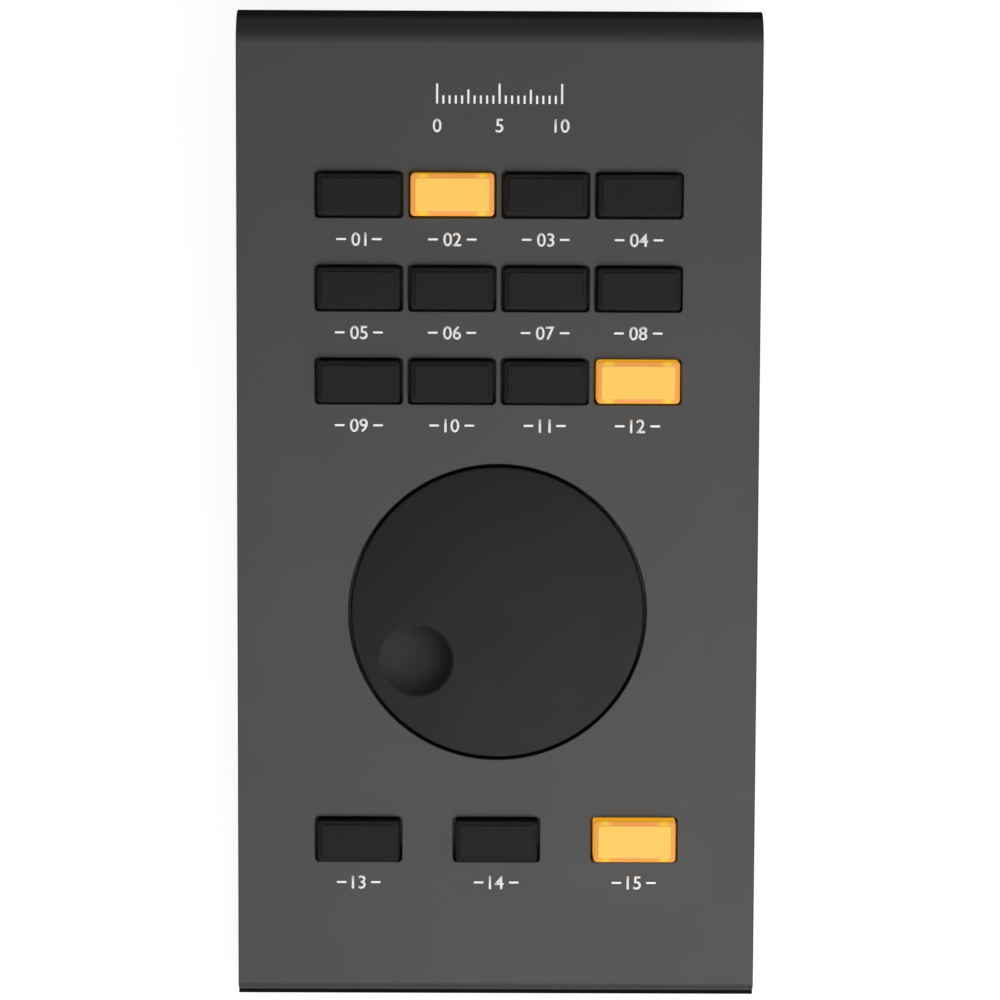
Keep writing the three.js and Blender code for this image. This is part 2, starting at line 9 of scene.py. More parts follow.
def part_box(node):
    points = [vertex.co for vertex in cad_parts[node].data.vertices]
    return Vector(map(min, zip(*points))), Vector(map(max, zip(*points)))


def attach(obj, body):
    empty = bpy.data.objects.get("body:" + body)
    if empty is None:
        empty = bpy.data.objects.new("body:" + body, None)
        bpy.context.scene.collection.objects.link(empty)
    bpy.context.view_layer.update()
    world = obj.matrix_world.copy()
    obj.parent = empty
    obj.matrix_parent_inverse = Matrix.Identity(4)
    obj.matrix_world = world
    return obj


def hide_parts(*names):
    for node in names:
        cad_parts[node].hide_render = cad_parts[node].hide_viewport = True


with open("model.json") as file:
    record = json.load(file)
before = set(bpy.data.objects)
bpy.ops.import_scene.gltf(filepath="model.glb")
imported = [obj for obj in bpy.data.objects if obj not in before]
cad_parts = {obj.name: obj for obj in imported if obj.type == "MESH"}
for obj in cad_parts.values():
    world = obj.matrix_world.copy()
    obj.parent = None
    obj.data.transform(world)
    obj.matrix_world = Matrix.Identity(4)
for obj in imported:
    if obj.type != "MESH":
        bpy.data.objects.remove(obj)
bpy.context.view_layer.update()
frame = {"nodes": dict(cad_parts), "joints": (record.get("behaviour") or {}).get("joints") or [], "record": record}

MM = 0.001

# Panel coordinates: x to the right, y up the slope from the top row of keys, z out of the panel.
DIAL_FROM_ROW_ONE = 85.885 * MM
dial_joint = next(joint for joint in frame["joints"] if joint["name"] == "dial_turn")
NORMAL = Vector(dial_joint["axis"]).normalized()
RIGHT = Vector((1, 0, 0))
UPHILL = NORMAL.cross(RIGHT).normalized()
ROW_ONE = Vector(dial_joint["pos_m"]) + UPHILL * DIAL_FROM_ROW_ONE
PANEL = Matrix.Translation(ROW_ONE) @ Matrix((RIGHT, UPHILL, NORMAL)).transposed().to_4x4()
SLOPE = math.atan2(UPHILL.z, UPHILL.y)

# Camera, in panel coordinates
CAMERA_PLACE = Vector((-3.394, 19.509, 763.694)) * MM
CAMERA_TURN_DEGREES = Vector((6.13442523, 0.27381294, -0.23563699))
CAMERA_LENS = 134.54
CAMERA_SENSOR = 36

# Stage: lengths in metres, directions as (azimuth, tilt) in degrees, glows as (strength, power)
FLOOR_HALF = 3.0
FLOOR_GREY = 0.86
FLOOR_GLOW = 1.15
FLOOR_SEEN_GLOW = 0.78
FLOOR_MIRRORED_GLOW = 0.6
FLOOR_CLEAR_DISTANCE = 2 / 3
SOFTBOX_DISTANCE = 1.3
KEY_LIGHT_TOWARD = (-46, 24)
KEY_LIGHT_SIZE = 1.3
KEY_LIGHT_WATTS = 2.4
FRONT_LIGHT_TOWARD = (-75, 30)
FRONT_LIGHT_SIZE = 0.65
FRONT_LIGHT_WATTS = 10.6
SKY_TOWARD = (-64, 54)
SKY_GLOWS = ((0.25, 1), (0.375, 2))
SKY_BAND = ((0.0, 0.9), (0.06, 0.8), (0.16, 0.0))

# How many sides the smaller round shapes have
HOLE_SIDES = 48
PIN_SIDES = 24
FOOT_SIDES = 72
NUT_SIDES = 96

# Sheet metal
SHEET = 1.5 * MM
SIDE_SHEET = 1.2 * MM
FRONT_BEND = 2.0 * MM
REAR_BEND = 6.8 * MM
FLANGE_BEND = 1.8 * MM
BEND_STEP = 0.35 * MM
BEND_LEAST_STEPS = 6
FLANGE_DEPTH = 14.0 * MM
# Where the shell's reflection fades out behind the rear bend, and over what length: painted shade that keeps the
# rear edge dark
PAINTED_SHADE_FROM_REAR = 3.9 * MM
PAINTED_SHADE_BLEND = 1.5 * MM
FIT_GAP = 0.3 * MM
CUT_EDGE = 0.2 * MM
TRAY_EDGE = 0.15 * MM
STUD_RADIUS = 2.5 * MM
STUD_DEPTH = 10.7 * MM
STUD_PIN_RADIUS = 1.4 * MM
STUD_PIN_DEPTH = 15.9 * MM
SCREW_HOLE_RADIUS = 1.8 * MM
JACK_HOLE_RADIUS = 5.0 * MM
USB_CORNER = 0.4 * MM

# Keys
KEY_NUMBERS = range(1, 16)
KEY_WINDOW = Vector((17.88, 9.34)) * MM
KEY_WINDOW_DROP = 0.1 * MM
KEY_WINDOW_CORNER = 0.7 * MM
KEY_CORNER = 0.8 * MM
KEY_WALL = 1.0 * MM
KEY_ROOF = 1.4 * MM
KEY_SKIRT = 3.2 * MM
KEY_INNER_CORNER = 0.2 * MM
KEY_SKIRT_EDGE = 0.1 * MM
STEM_HALF = Vector((2.2, 1.3)) * MM
STEM_CORNER = 0.2 * MM
# The cap's edge, its sloped band and its raised face: inset, corner radius and depth below the
# top, in millimetres
KEY_TOP_RINGS = (
    (0.0, 0.8, 0.72), (0.08, 0.8, 0.47), (0.2, 0.7, 0.31), (0.3, 0.65, 0.26), (0.8, 0.4, 0.2),
    (0.9, 0.36, 0.17), (0.95, 0.34, 0.05), (1.02, 0.32, 0.0), (1.2, 0.3, 0.0),
)

# Light of the lit keys: the ramp runs inwards from the cap's outline
LIT_KEYS = (2, 12, 15)
LIT_RAMP_LENGTH = 4 * MM
LIT_RAMP = (
    (0.0, (0.98, 0.44, 0.03)), (0.08, (0.94, 0.37, 0.08)), (0.19, (0.93, 0.36, 0.09)),
    (0.225, (0.86, 0.34, 0.07)), (0.27, (0.98, 0.60, 0.13)), (0.40, (0.98, 0.585, 0.10)),
    (1.0, (0.985, 0.60, 0.105)),
)
LIT_BAND = 0.24
LAMP_ACROSS = 6.0 * MM
LAMP_REACH = 1.5 * MM
LAMP_STRENGTH = 1.3
LAMP_COLOUR = (1.0, 0.60, 0.05)
LIT_WALL_COLOUR = (1.0, 0.47, 0.02)
LIT_WALL_BELOW_TOP = 0.8 * MM
LIT_DULL = 0.55
LIT_STRENGTH = 0.55
LIT_WALL_EXTRA = 0.22

# Dial
DIAL_SIDES = 192
DIAL_EDGE_STEPS = 8
DIAL_TOP = 0.8 * MM
DIAL_RADIUS = 30.2 * MM
DIAL_HOLE_GAP = 0.5 * MM
DIAL_THICKNESS = 3.2 * MM
DIAL_EDGE = 0.3 * MM
DIAL_CROWN = 0.7 * MM
DIAL_HUB = 6.0 * MM
DIAL_HUB_DROP = 0.4 * MM
BORE_RADIUS = 3.1 * MM
BORE_ROOF = 1.0 * MM
DIAL_UNDER_EDGE = 0.2 * MM
# How far each ring of the dial's top has gone from the dimple's rim to the dial's edge
DIAL_TOP_SHARES = (0.01, 0.05, 0.13, 0.25, 0.4, 0.55, 0.7, 0.82, 0.91, 0.97)
DIMPLE_STEPS = 24
DIMPLE_RIM_STEPS = 8
DIMPLE_RADIUS = 7.5 * MM
DIMPLE_DEPTH = 0.78 * MM
DIMPLE_POWER = 2.4
DIMPLE_SOFT = 0.35 * MM
DIMPLE_LEAN = Vector((1.2, -0.5)) * MM
DIMPLE_PLACE = Vector((-16.63, -9.99)) * MM

# Feet and screws
CORNER_NUMBERS = range(1, 5)
SCREW_SIDES = 48
SCREW_RADIUS = 1.5 * MM
SCREW_POINT_RADII = (0.7 * MM, 1.2 * MM)
SCREW_POINT_LENGTH = 0.5 * MM
SCREW_THREAD_DEPTH = 0.22 * MM
SCREW_HEAD_RADIUS = 2.8 * MM
# The head from its seat to its drive: radius and height, in millimetres
SCREW_HEAD_PROFILE = (
    (2.7, 1.4), (2.8, 1.3), (2.8, 0.62), (2.7, 0.38), (2.4, 0.15), (2.0, 0.03), (1.6, 0.0),
    (1.4, 0.02),
)
SCREW_HEAD_HEIGHT = 1.4 * MM
SCREW_PITCH = 0.5 * MM
SCREW_DRIVE_FLATS = 2.25 * MM
SCREW_DRIVE_LEAD = 0.15 * MM
SCREW_DRIVE_DEPTH = 0.8 * MM
FOOT_WEB = 1.2 * MM
FOOT_TOP_EDGE = 0.1 * MM
FOOT_ROUND = 0.7 * MM
FOOT_ROUND_STEPS = 6
# The mouth of a foot's recess: distance beyond its radius and height, in millimetres
FOOT_MOUTH = ((0, 0.25), (0.07, 0.07), (0.25, 0))
# The shallow ring under a foot: radius and height, in millimetres
FOOT_GROOVE = ((4.25, 0), (4.35, 0.15), (4.65, 0.15), (4.75, 0))

# Rear sockets
JACK_NOSE_RADIUS = 4.7 * MM
JACK_NOSE_REACH = 2.6 * MM
JACK_BORE_RADIUS = 3.3 * MM
JACK_BORE_DEPTH = 22.0 * MM
JACK_THREAD_PITCH = 0.75 * MM
JACK_THREAD_DEPTH = 0.28 * MM
JACK_CORNER_STEPS = 17
JACK_BODY_CORNER = 0.8 * MM
JACK_BODY_EDGE = 0.4 * MM
JACK_NOSE_EDGE = 0.4 * MM
# The jack's mouth: distance beyond the bore's radius and depth, in millimetres
JACK_MOUTH = ((1.05, 0.0), (0.4, 0.0), (0.12, 0.12), (0.0, 0.4))
# The springs in the jack's bore: depth and the side that they press from, in degrees
JACK_SPRINGS = ((6.0 * MM, 0), (13.0 * MM, 180))
SPRING_HALF = Vector((0.9, 0.15)) * MM
SPRING_CORNER = 0.1 * MM
# A spring's path: distance from the bore's axis and height along it, in millimetres
SPRING_PATH = ((3.3, -2.5), (2.5, -0.4), (2.5, 0.4), (3.3, 2.0))
NUT_BORE_GAP = 0.15 * MM
NUT_CHAMFER = 0.3 * MM
USB_WALL = 0.5 * MM
USB_OUTER_CORNER = 0.7 * MM
USB_FRONT_THICKNESS = 0.4 * MM
USB_FRONT_EDGE = 0.1 * MM
USB_MOUTH = Vector((8.5, 7.8)) * MM
USB_MOUTH_DEPTH = 13.0 * MM
USB_MOUTH_CHAMFER = 1.7 * MM
USB_TONGUE = Vector((5.6, 3.2)) * MM
USB_TONGUE_RECESS = 5.0 * MM
USB_TONGUE_CORNER = 0.2 * MM
USB_CONTACT_X = 1.25 * MM
USB_CONTACT_HALF = Vector((0.55, 0.06)) * MM
USB_CONTACT_RECESS = 6.2 * MM

# Printed legends
INK_THICKNESS = 0.03 * MM
INK_LIFT = 0.004 * MM
DIGIT_SWELL = 0.012
LEGEND_HEIGHT = 2.8 * MM
LEGEND_DROP = 9.15 * MM
RULE_LENGTH = 2.0 * MM
RULE_THICKNESS = 0.42 * MM
RULE_GAP = 1.1 * MM
SCALE_PLACE_Y = 18.4 * MM
SCALE_PITCH = 1.27 * MM
SCALE_STEPS = 20
SCALE_LONG = 4.1 * MM
SCALE_MIDDLE = 2.9 * MM
SCALE_SHORT = 1.7 * MM
SCALE_NUMBER_Y = 14.0 * MM

STILL = Matrix.Identity(4)


def grey(level):
    """A grey colour."""
    return level, level, level


def material(name):
    """A new node material and its shader."""
    made = bpy.data.materials.new(name)
    made.use_nodes = True
    return made, made.node_tree, made.node_tree.nodes["Principled BSDF"]


def coordinates(tree, kind="Object"):
    """The coordinates that drive a texture; the object's own need no UVs."""
    return tree.nodes.new("ShaderNodeTexCoord").outputs[kind]


def axes_of(tree, place):
    """The X, Y and Z of some coordinates, as the outputs of one node."""
    split = tree.nodes.new("ShaderNodeSeparateXYZ")
    tree.links.new(place, split.inputs["Vector"])
    return split.outputs


def noise(tree, scale, detail):
    """A noise texture over object coordinates."""
    texture = tree.nodes.new("ShaderNodeTexNoise")
    texture.inputs["Scale"].default_value = scale
    texture.inputs["Detail"].default_value = detail
    tree.links.new(coordinates(tree), texture.inputs["Vector"])
    return texture


def maths(tree, operation, a, b=None):
    """A maths node of sockets or numbers."""
    node = tree.nodes.new("ShaderNodeMath")
    node.operation = operation
    for socket, value in zip(node.inputs, (a, b)):
        if hasattr(value, "default_value"):
            tree.links.new(value, socket)
        elif value is not None:
            socket.default_value = value
    return node.outputs["Value"]


def ramp(tree, source, stops):
    """A colour ramp fed by a value; a stop is a position and an (r, g, b) colour."""
    node = tree.nodes.new("ShaderNodeValToRGB")
    elements = node.color_ramp.elements
    while len(elements) < len(stops):
        elements.new(0.5)
    for element, (position, colour) in zip(elements, stops):
        element.position = position
        element.color = (*colour, 1)
    tree.links.new(source, node.inputs["Fac"])
    return node


def mixed(tree, share, first, second):
    """The colour that goes from a socket's to an (r, g, b) colour as the share rises."""
    node = tree.nodes.new("ShaderNodeMix")
    node.data_type = "RGBA"
    if hasattr(share, "default_value"):
        tree.links.new(share, node.inputs["Factor"])
    else:
        node.inputs["Factor"].default_value = share
    tree.links.new(first, node.inputs["A"])
    node.inputs["B"].default_value = (*second, 1)
    return node.outputs["Result"]


def spread(tree, source, low, high):
    """Maps a 0 to 1 value to a range."""
    node = tree.nodes.new("ShaderNodeMapRange")
    node.inputs["To Min"].default_value = low
    node.inputs["To Max"].default_value = high
    tree.links.new(source, node.inputs["Value"])
    return node.outputs["Result"]


def bump(tree, shader, height, distance):
    """A fine relief from a height between 0 and 1."""
    node = tree.nodes.new("ShaderNodeBump")
    node.inputs["Distance"].default_value = distance
    node.inputs["Strength"].default_value = 1.0
    tree.links.new(height, node.inputs["Height"])
    tree.links.new(node.outputs["Normal"], shader.inputs["Normal"])


def coated(name, colour, vary, roughness, grain_scale, grain_depth, specular=0.5):
    """A surface of one colour with cloudy variation, uneven gloss and a fine grain."""
    made, tree, shader = material(name)
    dark = [c * (1 - vary) for c in colour]
    light = [c * (1 + vary) for c in colour]
    cloud = noise(tree, 60.0, 4.0)
    mix = ramp(tree, cloud.outputs["Fac"], [(0.3, dark), (0.7, light)])
    tree.links.new(mix.outputs["Color"], shader.inputs["Base Color"])
    tree.links.new(
        spread(tree, cloud.outputs["Fac"], roughness - 0.03, roughness + 0.03),
        shader.inputs["Roughness"],
    )
    shader.inputs["Specular IOR Level"].default_value = specular
    grain = noise(tree, grain_scale, 2.0)
    bump(tree, shader, grain.outputs["Fac"], grain_depth)
    return made


def painted_sheet(name, colour, roughness, specular):
    """The shell's paint; past the crest of the rear bend and on the rear wall its reflection fades to none, a
    painted shade that keeps the rear edge dark.
    """
    made = coated(name, colour, 0.03, roughness, 2600.0, 0.000012, specular)
    tree = made.node_tree
    # Painted shade: the reflection fades to none behind the rear bend so that the rear edge stays dark
    fade = tree.nodes.new("ShaderNodeMapRange")
    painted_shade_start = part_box("top_shell")[1].y - PAINTED_SHADE_FROM_REAR
    fade.inputs["From Min"].default_value = painted_shade_start
    fade.inputs["From Max"].default_value = painted_shade_start + PAINTED_SHADE_BLEND
    fade.inputs["To Min"].default_value = specular
    fade.inputs["To Max"].default_value = 0.0
    tree.links.new(axes_of(tree, coordinates(tree))["Y"], fade.inputs["Value"])
    shader = tree.nodes["Principled BSDF"]
    tree.links.new(fade.outputs["Result"], shader.inputs["Specular IOR Level"])
    return made


def lit_plastic(name, half, face_height):
    """Amber plastic lit from inside: a pale face, an orange sloped band and brighter lamp spots."""
    made, tree, shader = material(name)
    axes = axes_of(tree, coordinates(tree))
    across = maths(tree, "ABSOLUTE", axes["X"])
    along = maths(tree, "ABSOLUTE", axes["Y"])
    inset_x = maths(tree, "SUBTRACT", half.x, across)
    inset_y = maths(tree, "SUBTRACT", half.y, along)
    inset = maths(tree, "MINIMUM", inset_x, inset_y)
    inset = maths(tree, "MULTIPLY", inset, 1 / LIT_RAMP_LENGTH)
    colours = ramp(tree, inset, LIT_RAMP)

    from_lamp = maths(tree, "ABSOLUTE", maths(tree, "SUBTRACT", across, LAMP_ACROSS))
    falloff = maths(tree, "DIVIDE", from_lamp, LAMP_REACH)
    near_lamp = maths(tree, "MAXIMUM", maths(tree, "SUBTRACT", 1.0, falloff), 0.0)
    on_band = maths(tree, "LESS_THAN", inset, LIT_BAND)
    spot = maths(tree, "MULTIPLY", near_lamp, on_band)
    spot = maths(tree, "MULTIPLY", spot, LAMP_STRENGTH)
    glow = mixed(tree, spot, colours.outputs["Color"], LAMP_COLOUR)

    below = maths(tree, "LESS_THAN", axes["Z"], face_height - LIT_WALL_BELOW_TOP)
    wall = mixed(tree, below, glow, LIT_WALL_COLOUR)
    tree.links.new(mixed(tree, LIT_DULL, wall, (0, 0, 0)), shader.inputs["Base Color"])
    tree.links.new(wall, shader.inputs["Emission Color"])
    extra = maths(tree, "MULTIPLY", below, LIT_WALL_EXTRA)
    strength = maths(tree, "ADD", extra, LIT_STRENGTH)
    tree.links.new(strength, shader.inputs["Emission Strength"])
    shader.inputs["Roughness"].default_value = 0.45
    shader.inputs["Specular IOR Level"].default_value = 0.15
    return made


def board_material():
    """Dark green solder mask with faint tracks."""
    made, tree, shader = material("circuit_board")
    tracks = tree.nodes.new("ShaderNodeTexBrick")
    tracks.inputs["Scale"].default_value = 160.0
    tracks.inputs["Color1"].default_value = (0.003, 0.019, 0.009, 1)
    tracks.inputs["Color2"].default_value = (0.004, 0.023, 0.011, 1)
    tracks.inputs["Mortar"].default_value = (0.007, 0.038, 0.018, 1)
    tree.links.new(coordinates(tree), tracks.inputs["Vector"])
    tree.links.new(tracks.outputs["Color"], shader.inputs["Base Color"])
    bump(tree, shader, tracks.outputs["Fac"], 0.00003)
    shader.inputs["Roughness"].default_value = 0.35
    return made


def ribbon_material():
    """Grey flat cable: parallel cores drawn by a wave along X."""
    made, tree, shader = material("ribbon")
    cores = tree.nodes.new("ShaderNodeTexWave")
    cores.inputs["Scale"].default_value = 250.0
    tree.links.new(coordinates(tree), cores.inputs["Vector"])
    colour = ramp(tree, cores.outputs["Fac"], [
        (0.0, (0.22, 0.23, 0.24)), (1.0, (0.40, 0.41, 0.43)),
    ])
    tree.links.new(colour.outputs["Color"], shader.inputs["Base Color"])
    bump(tree, shader, cores.outputs["Fac"], 0.0002)
    shader.inputs["Roughness"].default_value = 0.5
    return made


def metal(name, colour, roughness):
    """Plated metal with fine scratches in its gloss."""
    made, tree, shader = material(name)
    scratches = noise(tree, 900.0, 6.0)
    tint = ramp(tree, scratches.outputs["Fac"], [
        (0.3, [c * 0.88 for c in colour]), (0.7, colour),
    ])
    tree.links.new(tint.outputs["Color"], shader.inputs["Base Color"])
    tree.links.new(
        spread(tree, scratches.outputs["Fac"], roughness * 0.7, roughness * 1.4),
        shader.inputs["Roughness"],
    )
    bump(tree, shader, scratches.outputs["Fac"], 0.00001)
    shader.inputs["Metallic"].default_value = 1.0
    return made


def smooth(mesh, degrees=40):
    """Smooth shading with sharp edges above an angle."""
    mesh.shade_smooth()
    mesh.set_sharp_from_angle(angle=math.radians(degrees))


def add_object(name, mesh, matrix, body, finish, replaced=()):
    """Puts a mesh into the scene as a piece that rides on a body."""
    piece = bpy.data.objects.new(name, mesh)
    bpy.context.scene.collection.objects.link(piece)
    piece.matrix_world = matrix
    mesh.materials.append(finish)
    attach(piece, body)
    if replaced:
        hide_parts(*replaced)


def circle(radius, count, x=0.0, y=0.0, start=0.0):
    """Points round a circle, anticlockwise from a start angle."""
    steps = [start + 2 * math.pi * i / count for i in range(count)]
    return [(x + radius * math.cos(a), y + radius * math.sin(a)) for a in steps]


def rounded_rectangle(half_x, half_y, radius, steps=6, x=0.0, y=0.0):
    """Outline points of a rectangle with round corners, anticlockwise."""
    points = []
    corners = ((1, 1, 0.0), (-1, 1, 0.5), (-1, -1, 1.0), (1, -1, 1.5))
    for sign_x, sign_y, turn in corners:
        for i in range(steps + 1):
            angle = math.pi * (turn + 0.5 * i / steps)
            points.append((
                x + sign_x * (half_x - radius) + radius * math.cos(angle),
                y + sign_y * (half_y - radius) + radius * math.sin(angle),
            ))
    return points


def hexagon(flats, count, round_radius=None):
    """Points on a hexagon's outline, cut by a circle where one is given."""
    points = []
    for i in range(count):
        angle = 2 * math.pi * i / count
        off = (angle + math.pi / 6) % (math.pi / 3) - math.pi / 6
        radius = flats / 2 / math.cos(off)
        if round_radius is not None:
            radius = min(radius, round_radius)
        points.append((radius * math.cos(angle), radius * math.sin(angle)))
    return points


def loft(name, rings, close_start=True, close_end=True, looped=False):
    """A mesh through rings of equal point counts; a ring is (points, height)."""
    bm = bmesh.new()
    loops = [[bm.verts.new((x, y, z)) for x, y in points] for points, z in rings]
    count = len(loops[0])
    pairs = list(zip(loops, loops[1:]))
    if looped:
        pairs.append((loops[-1], loops[0]))
    for lower, upper in pairs:
        for i in range(count):
            j = (i + 1) % count
            bm.faces.new((lower[i], lower[j], upper[j], upper[i]))
    if close_start and not looped:
        bm.faces.new(list(reversed(loops[0])))
    if close_end and not looped:
        bm.faces.new(loops[-1])
    bmesh.ops.recalc_face_normals(bm, faces=bm.faces)
    mesh = bpy.data.meshes.new(name)
    bm.to_mesh(mesh)
    bm.free()
    return mesh


def lathe(name, profile, count, looped=False):
    """A turned mesh from (radius, height) points."""
    return loft(name, [(circle(radius, count), z) for radius, z in profile], looped=looped)


def join_meshes(name, parts):
    """One mesh from several, each with the matrix that places it."""
    bm = bmesh.new()
    for mesh, matrix in parts:
        copy = mesh.copy()
        copy.transform(matrix)
        bm.from_mesh(copy)
        bpy.data.meshes.remove(copy)
    joined = bpy.data.meshes.new(name)
    bm.to_mesh(joined)
    bm.free()
    return joined


def plate(name, outer, holes, thickness, edge):
    """A flat plate with holes and rounded edges, its outer face at height zero."""
    curve = bpy.data.curves.new(name, "CURVE")
    curve.dimensions = "2D"
    curve.fill_mode = "BOTH"
    curve.extrude = thickness / 2 - edge
    curve.bevel_depth = edge
    curve.bevel_resolution = 2
    curve.offset = -edge
    for points in [outer] + [list(reversed(hole)) for hole in holes]:
        spline = curve.splines.new("POLY")
        spline.points.add(len(points) - 1)
        for point, (x, y) in zip(spline.points, points):
            point.co = (x, y, 0, 1)
        spline.use_cyclic_u = True
    holder = bpy.data.objects.new(name, curve)
    bpy.context.scene.collection.objects.link(holder)
    bpy.context.view_layer.update()
    graph = bpy.context.evaluated_depsgraph_get()
    mesh = bpy.data.meshes.new_from_object(holder.evaluated_get(graph))
    bpy.data.objects.remove(holder)
    mesh.transform(Matrix.Translation((0, 0, -thickness / 2)))
    return mesh


def flat_first_normals(mesh):
    """One normal for each vertex of a plate: the flat faces' own where it touches one."""
    normals = [Vector() for _ in mesh.vertices]
    flat = [False] * len(mesh.vertices)
    for face in mesh.polygons:
        level = abs(face.normal.z) > 0.9999
        for index in face.vertices:
            if level and not flat[index]:
                flat[index] = True
                normals[index] = Vector((0, 0, math.copysign(1, face.normal.z)))
            elif not level and not flat[index]:
                normals[index] = normals[index] + face.normal * face.area
    return [n.normalized() for n in normals]


class FoldLine:
    """The path that a flat sheet takes when it is folded: straight runs and right-hand bends."""

    def __init__(self, start, heading, parts):
        self.parts = []
        place, length = Vector(start), 0.0
        for run, radius, angle in parts:
            self.parts.append((length, length + run, place.copy(), heading, 0.0))
            place += run * Vector((math.cos(heading), math.sin(heading)))
            length += run
            if angle:
                centre = place + radius * Vector((math.sin(heading), -math.cos(heading)))
                self.parts.append((length, length + radius * angle, centre, heading, radius))
                heading -= angle
                place = centre + radius * Vector((-math.sin(heading), math.cos(heading)))
                length += radius * angle
        self.length = length

    def bends(self):
        """Where each bend begins and ends along the flat sheet."""
        return [(low, high) for low, high, _, _, radius in self.parts if radius]

    def runs(self):
        """Where each straight run begins and ends along the flat sheet."""
        return [(low, high) for low, high, _, _, radius in self.parts if not radius]

    def fold(self, along, depth):
        """The place and the turn of a point of the flat sheet; depth is below its outer face."""
        part = next((p for p in self.parts if along <= p[1]), self.parts[-1])
        low, _, place, heading, radius = part
        if not radius:
            forward = Vector((math.cos(heading), math.sin(heading)))
            inward = Vector((math.sin(heading), -math.cos(heading)))
            return place + forward * (along - low) + inward * depth, heading
        turned = heading - (along - low) / radius
        outward = Vector((-math.sin(turned), math.cos(turned)))
        return place + outward * (radius - depth), turned


def fold_sheet(mesh, line):
    """Cuts a flat sheet into strips where it bends, folds it and gives it its own normals."""
    bm = bmesh.new()
    bm.from_mesh(mesh)
    for low, high in line.bends():
        steps = max(BEND_LEAST_STEPS, round((high - low) / BEND_STEP))
        for i in range(steps + 1):
            at = low + (high - low) * i / steps
            bmesh.ops.bisect_plane(
                bm, geom=bm.verts[:] + bm.edges[:] + bm.faces[:], dist=1e-8,
                plane_co=(0, at, 0), plane_no=(0, 1, 0),
            )
    bmesh.ops.recalc_face_normals(bm, faces=bm.faces)
    bm.to_mesh(mesh)
    bm.free()
    normals = flat_first_normals(mesh)
    folded = []
    for vertex, normal in zip(mesh.vertices, normals):
        place, turn = line.fold(vertex.co.y, -vertex.co.z)
        along, out = normal.y, normal.z
        a = along * math.cos(turn) - out * math.sin(turn)
        b = along * math.sin(turn) + out * math.cos(turn)
        vertex.co = (vertex.co.x, place.x, place.y)
        folded.append((normal.x, a, b))
    mesh.shade_smooth()
    mesh.normals_split_custom_set_from_vertices(folded)


def panel_box(node):
    """Lowest and highest corner of a CAD node in panel coordinates."""
    back = PANEL.inverted()
    places = [back @ vertex.co for vertex in frame["nodes"][node].data.vertices]
    low = Vector([min(p[axis] for p in places) for axis in range(3)])
    high = Vector([max(p[axis] for p in places) for axis in range(3)])
    return low, high


def make_camera():
    """The photograph's viewpoint, found from the places of the keys."""
    data = bpy.data.cameras.new("camera")
    data.lens = CAMERA_LENS
    data.sensor_width = CAMERA_SENSOR
    data.clip_start = 0.01
    data.clip_end = 20
    camera = bpy.data.objects.new("camera", data)
    bpy.context.scene.collection.objects.link(camera)
    turn = CAMERA_TURN_DEGREES * math.radians(1)
    to_camera = Quaternion(turn.normalized(), turn.length).to_matrix().to_4x4()
    camera.matrix_world = PANEL @ Matrix.Translation(CAMERA_PLACE) @ to_camera.transposed()
    bpy.context.scene.camera = camera


def toward(azimuth, tilt):
    """The direction at an azimuth from +X and a tilt from straight up, in degrees."""
    turn = math.radians(azimuth)
    lean = math.radians(tilt)
    return Vector((
        math.sin(lean) * math.cos(turn), math.sin(lean) * math.sin(turn), math.cos(lean),
    ))


def make_softbox(name, direction, size, power):
    """A square area light in a direction from the origin, aimed at it."""
    data = bpy.data.lights.new(name, "AREA")
    data.shape = "SQUARE"
    data.size = size
    data.energy = power
    lamp = bpy.data.objects.new(name, data)
    bpy.context.scene.collection.objects.link(lamp)
    lamp.location = direction * SOFTBOX_DISTANCE
    lamp.rotation_mode = "QUATERNION"
    lamp.rotation_quaternion = (-direction).to_track_quat("-Z", "Y")


def make_sky():
    """A studio sky: bright towards the front right, dark behind, with a pale band low down."""
    world = bpy.data.worlds.new("studio")
    world.use_nodes = True
    bpy.context.scene.world = world
    tree = world.node_tree
    place = coordinates(tree, "Generated")
    total = None
    for strength, power in SKY_GLOWS:
        dot = tree.nodes.new("ShaderNodeVectorMath")
        dot.operation = "DOT_PRODUCT"
        tree.links.new(place, dot.inputs[0])
        dot.inputs[1].default_value = toward(*SKY_TOWARD)
        facing = maths(tree, "MAXIMUM", dot.outputs["Value"], 0.0)
        glow = maths(tree, "MULTIPLY", maths(tree, "POWER", facing, power), strength)
        total = glow if total is None else maths(tree, "ADD", total, glow)
    stops = [(height, grey(level)) for height, level in SKY_BAND]
    band = ramp(tree, axes_of(tree, place)["Z"], stops)
    total = maths(tree, "MAXIMUM", total, band.outputs["Color"])
    tree.links.new(total, tree.nodes["Background"].inputs["Color"])


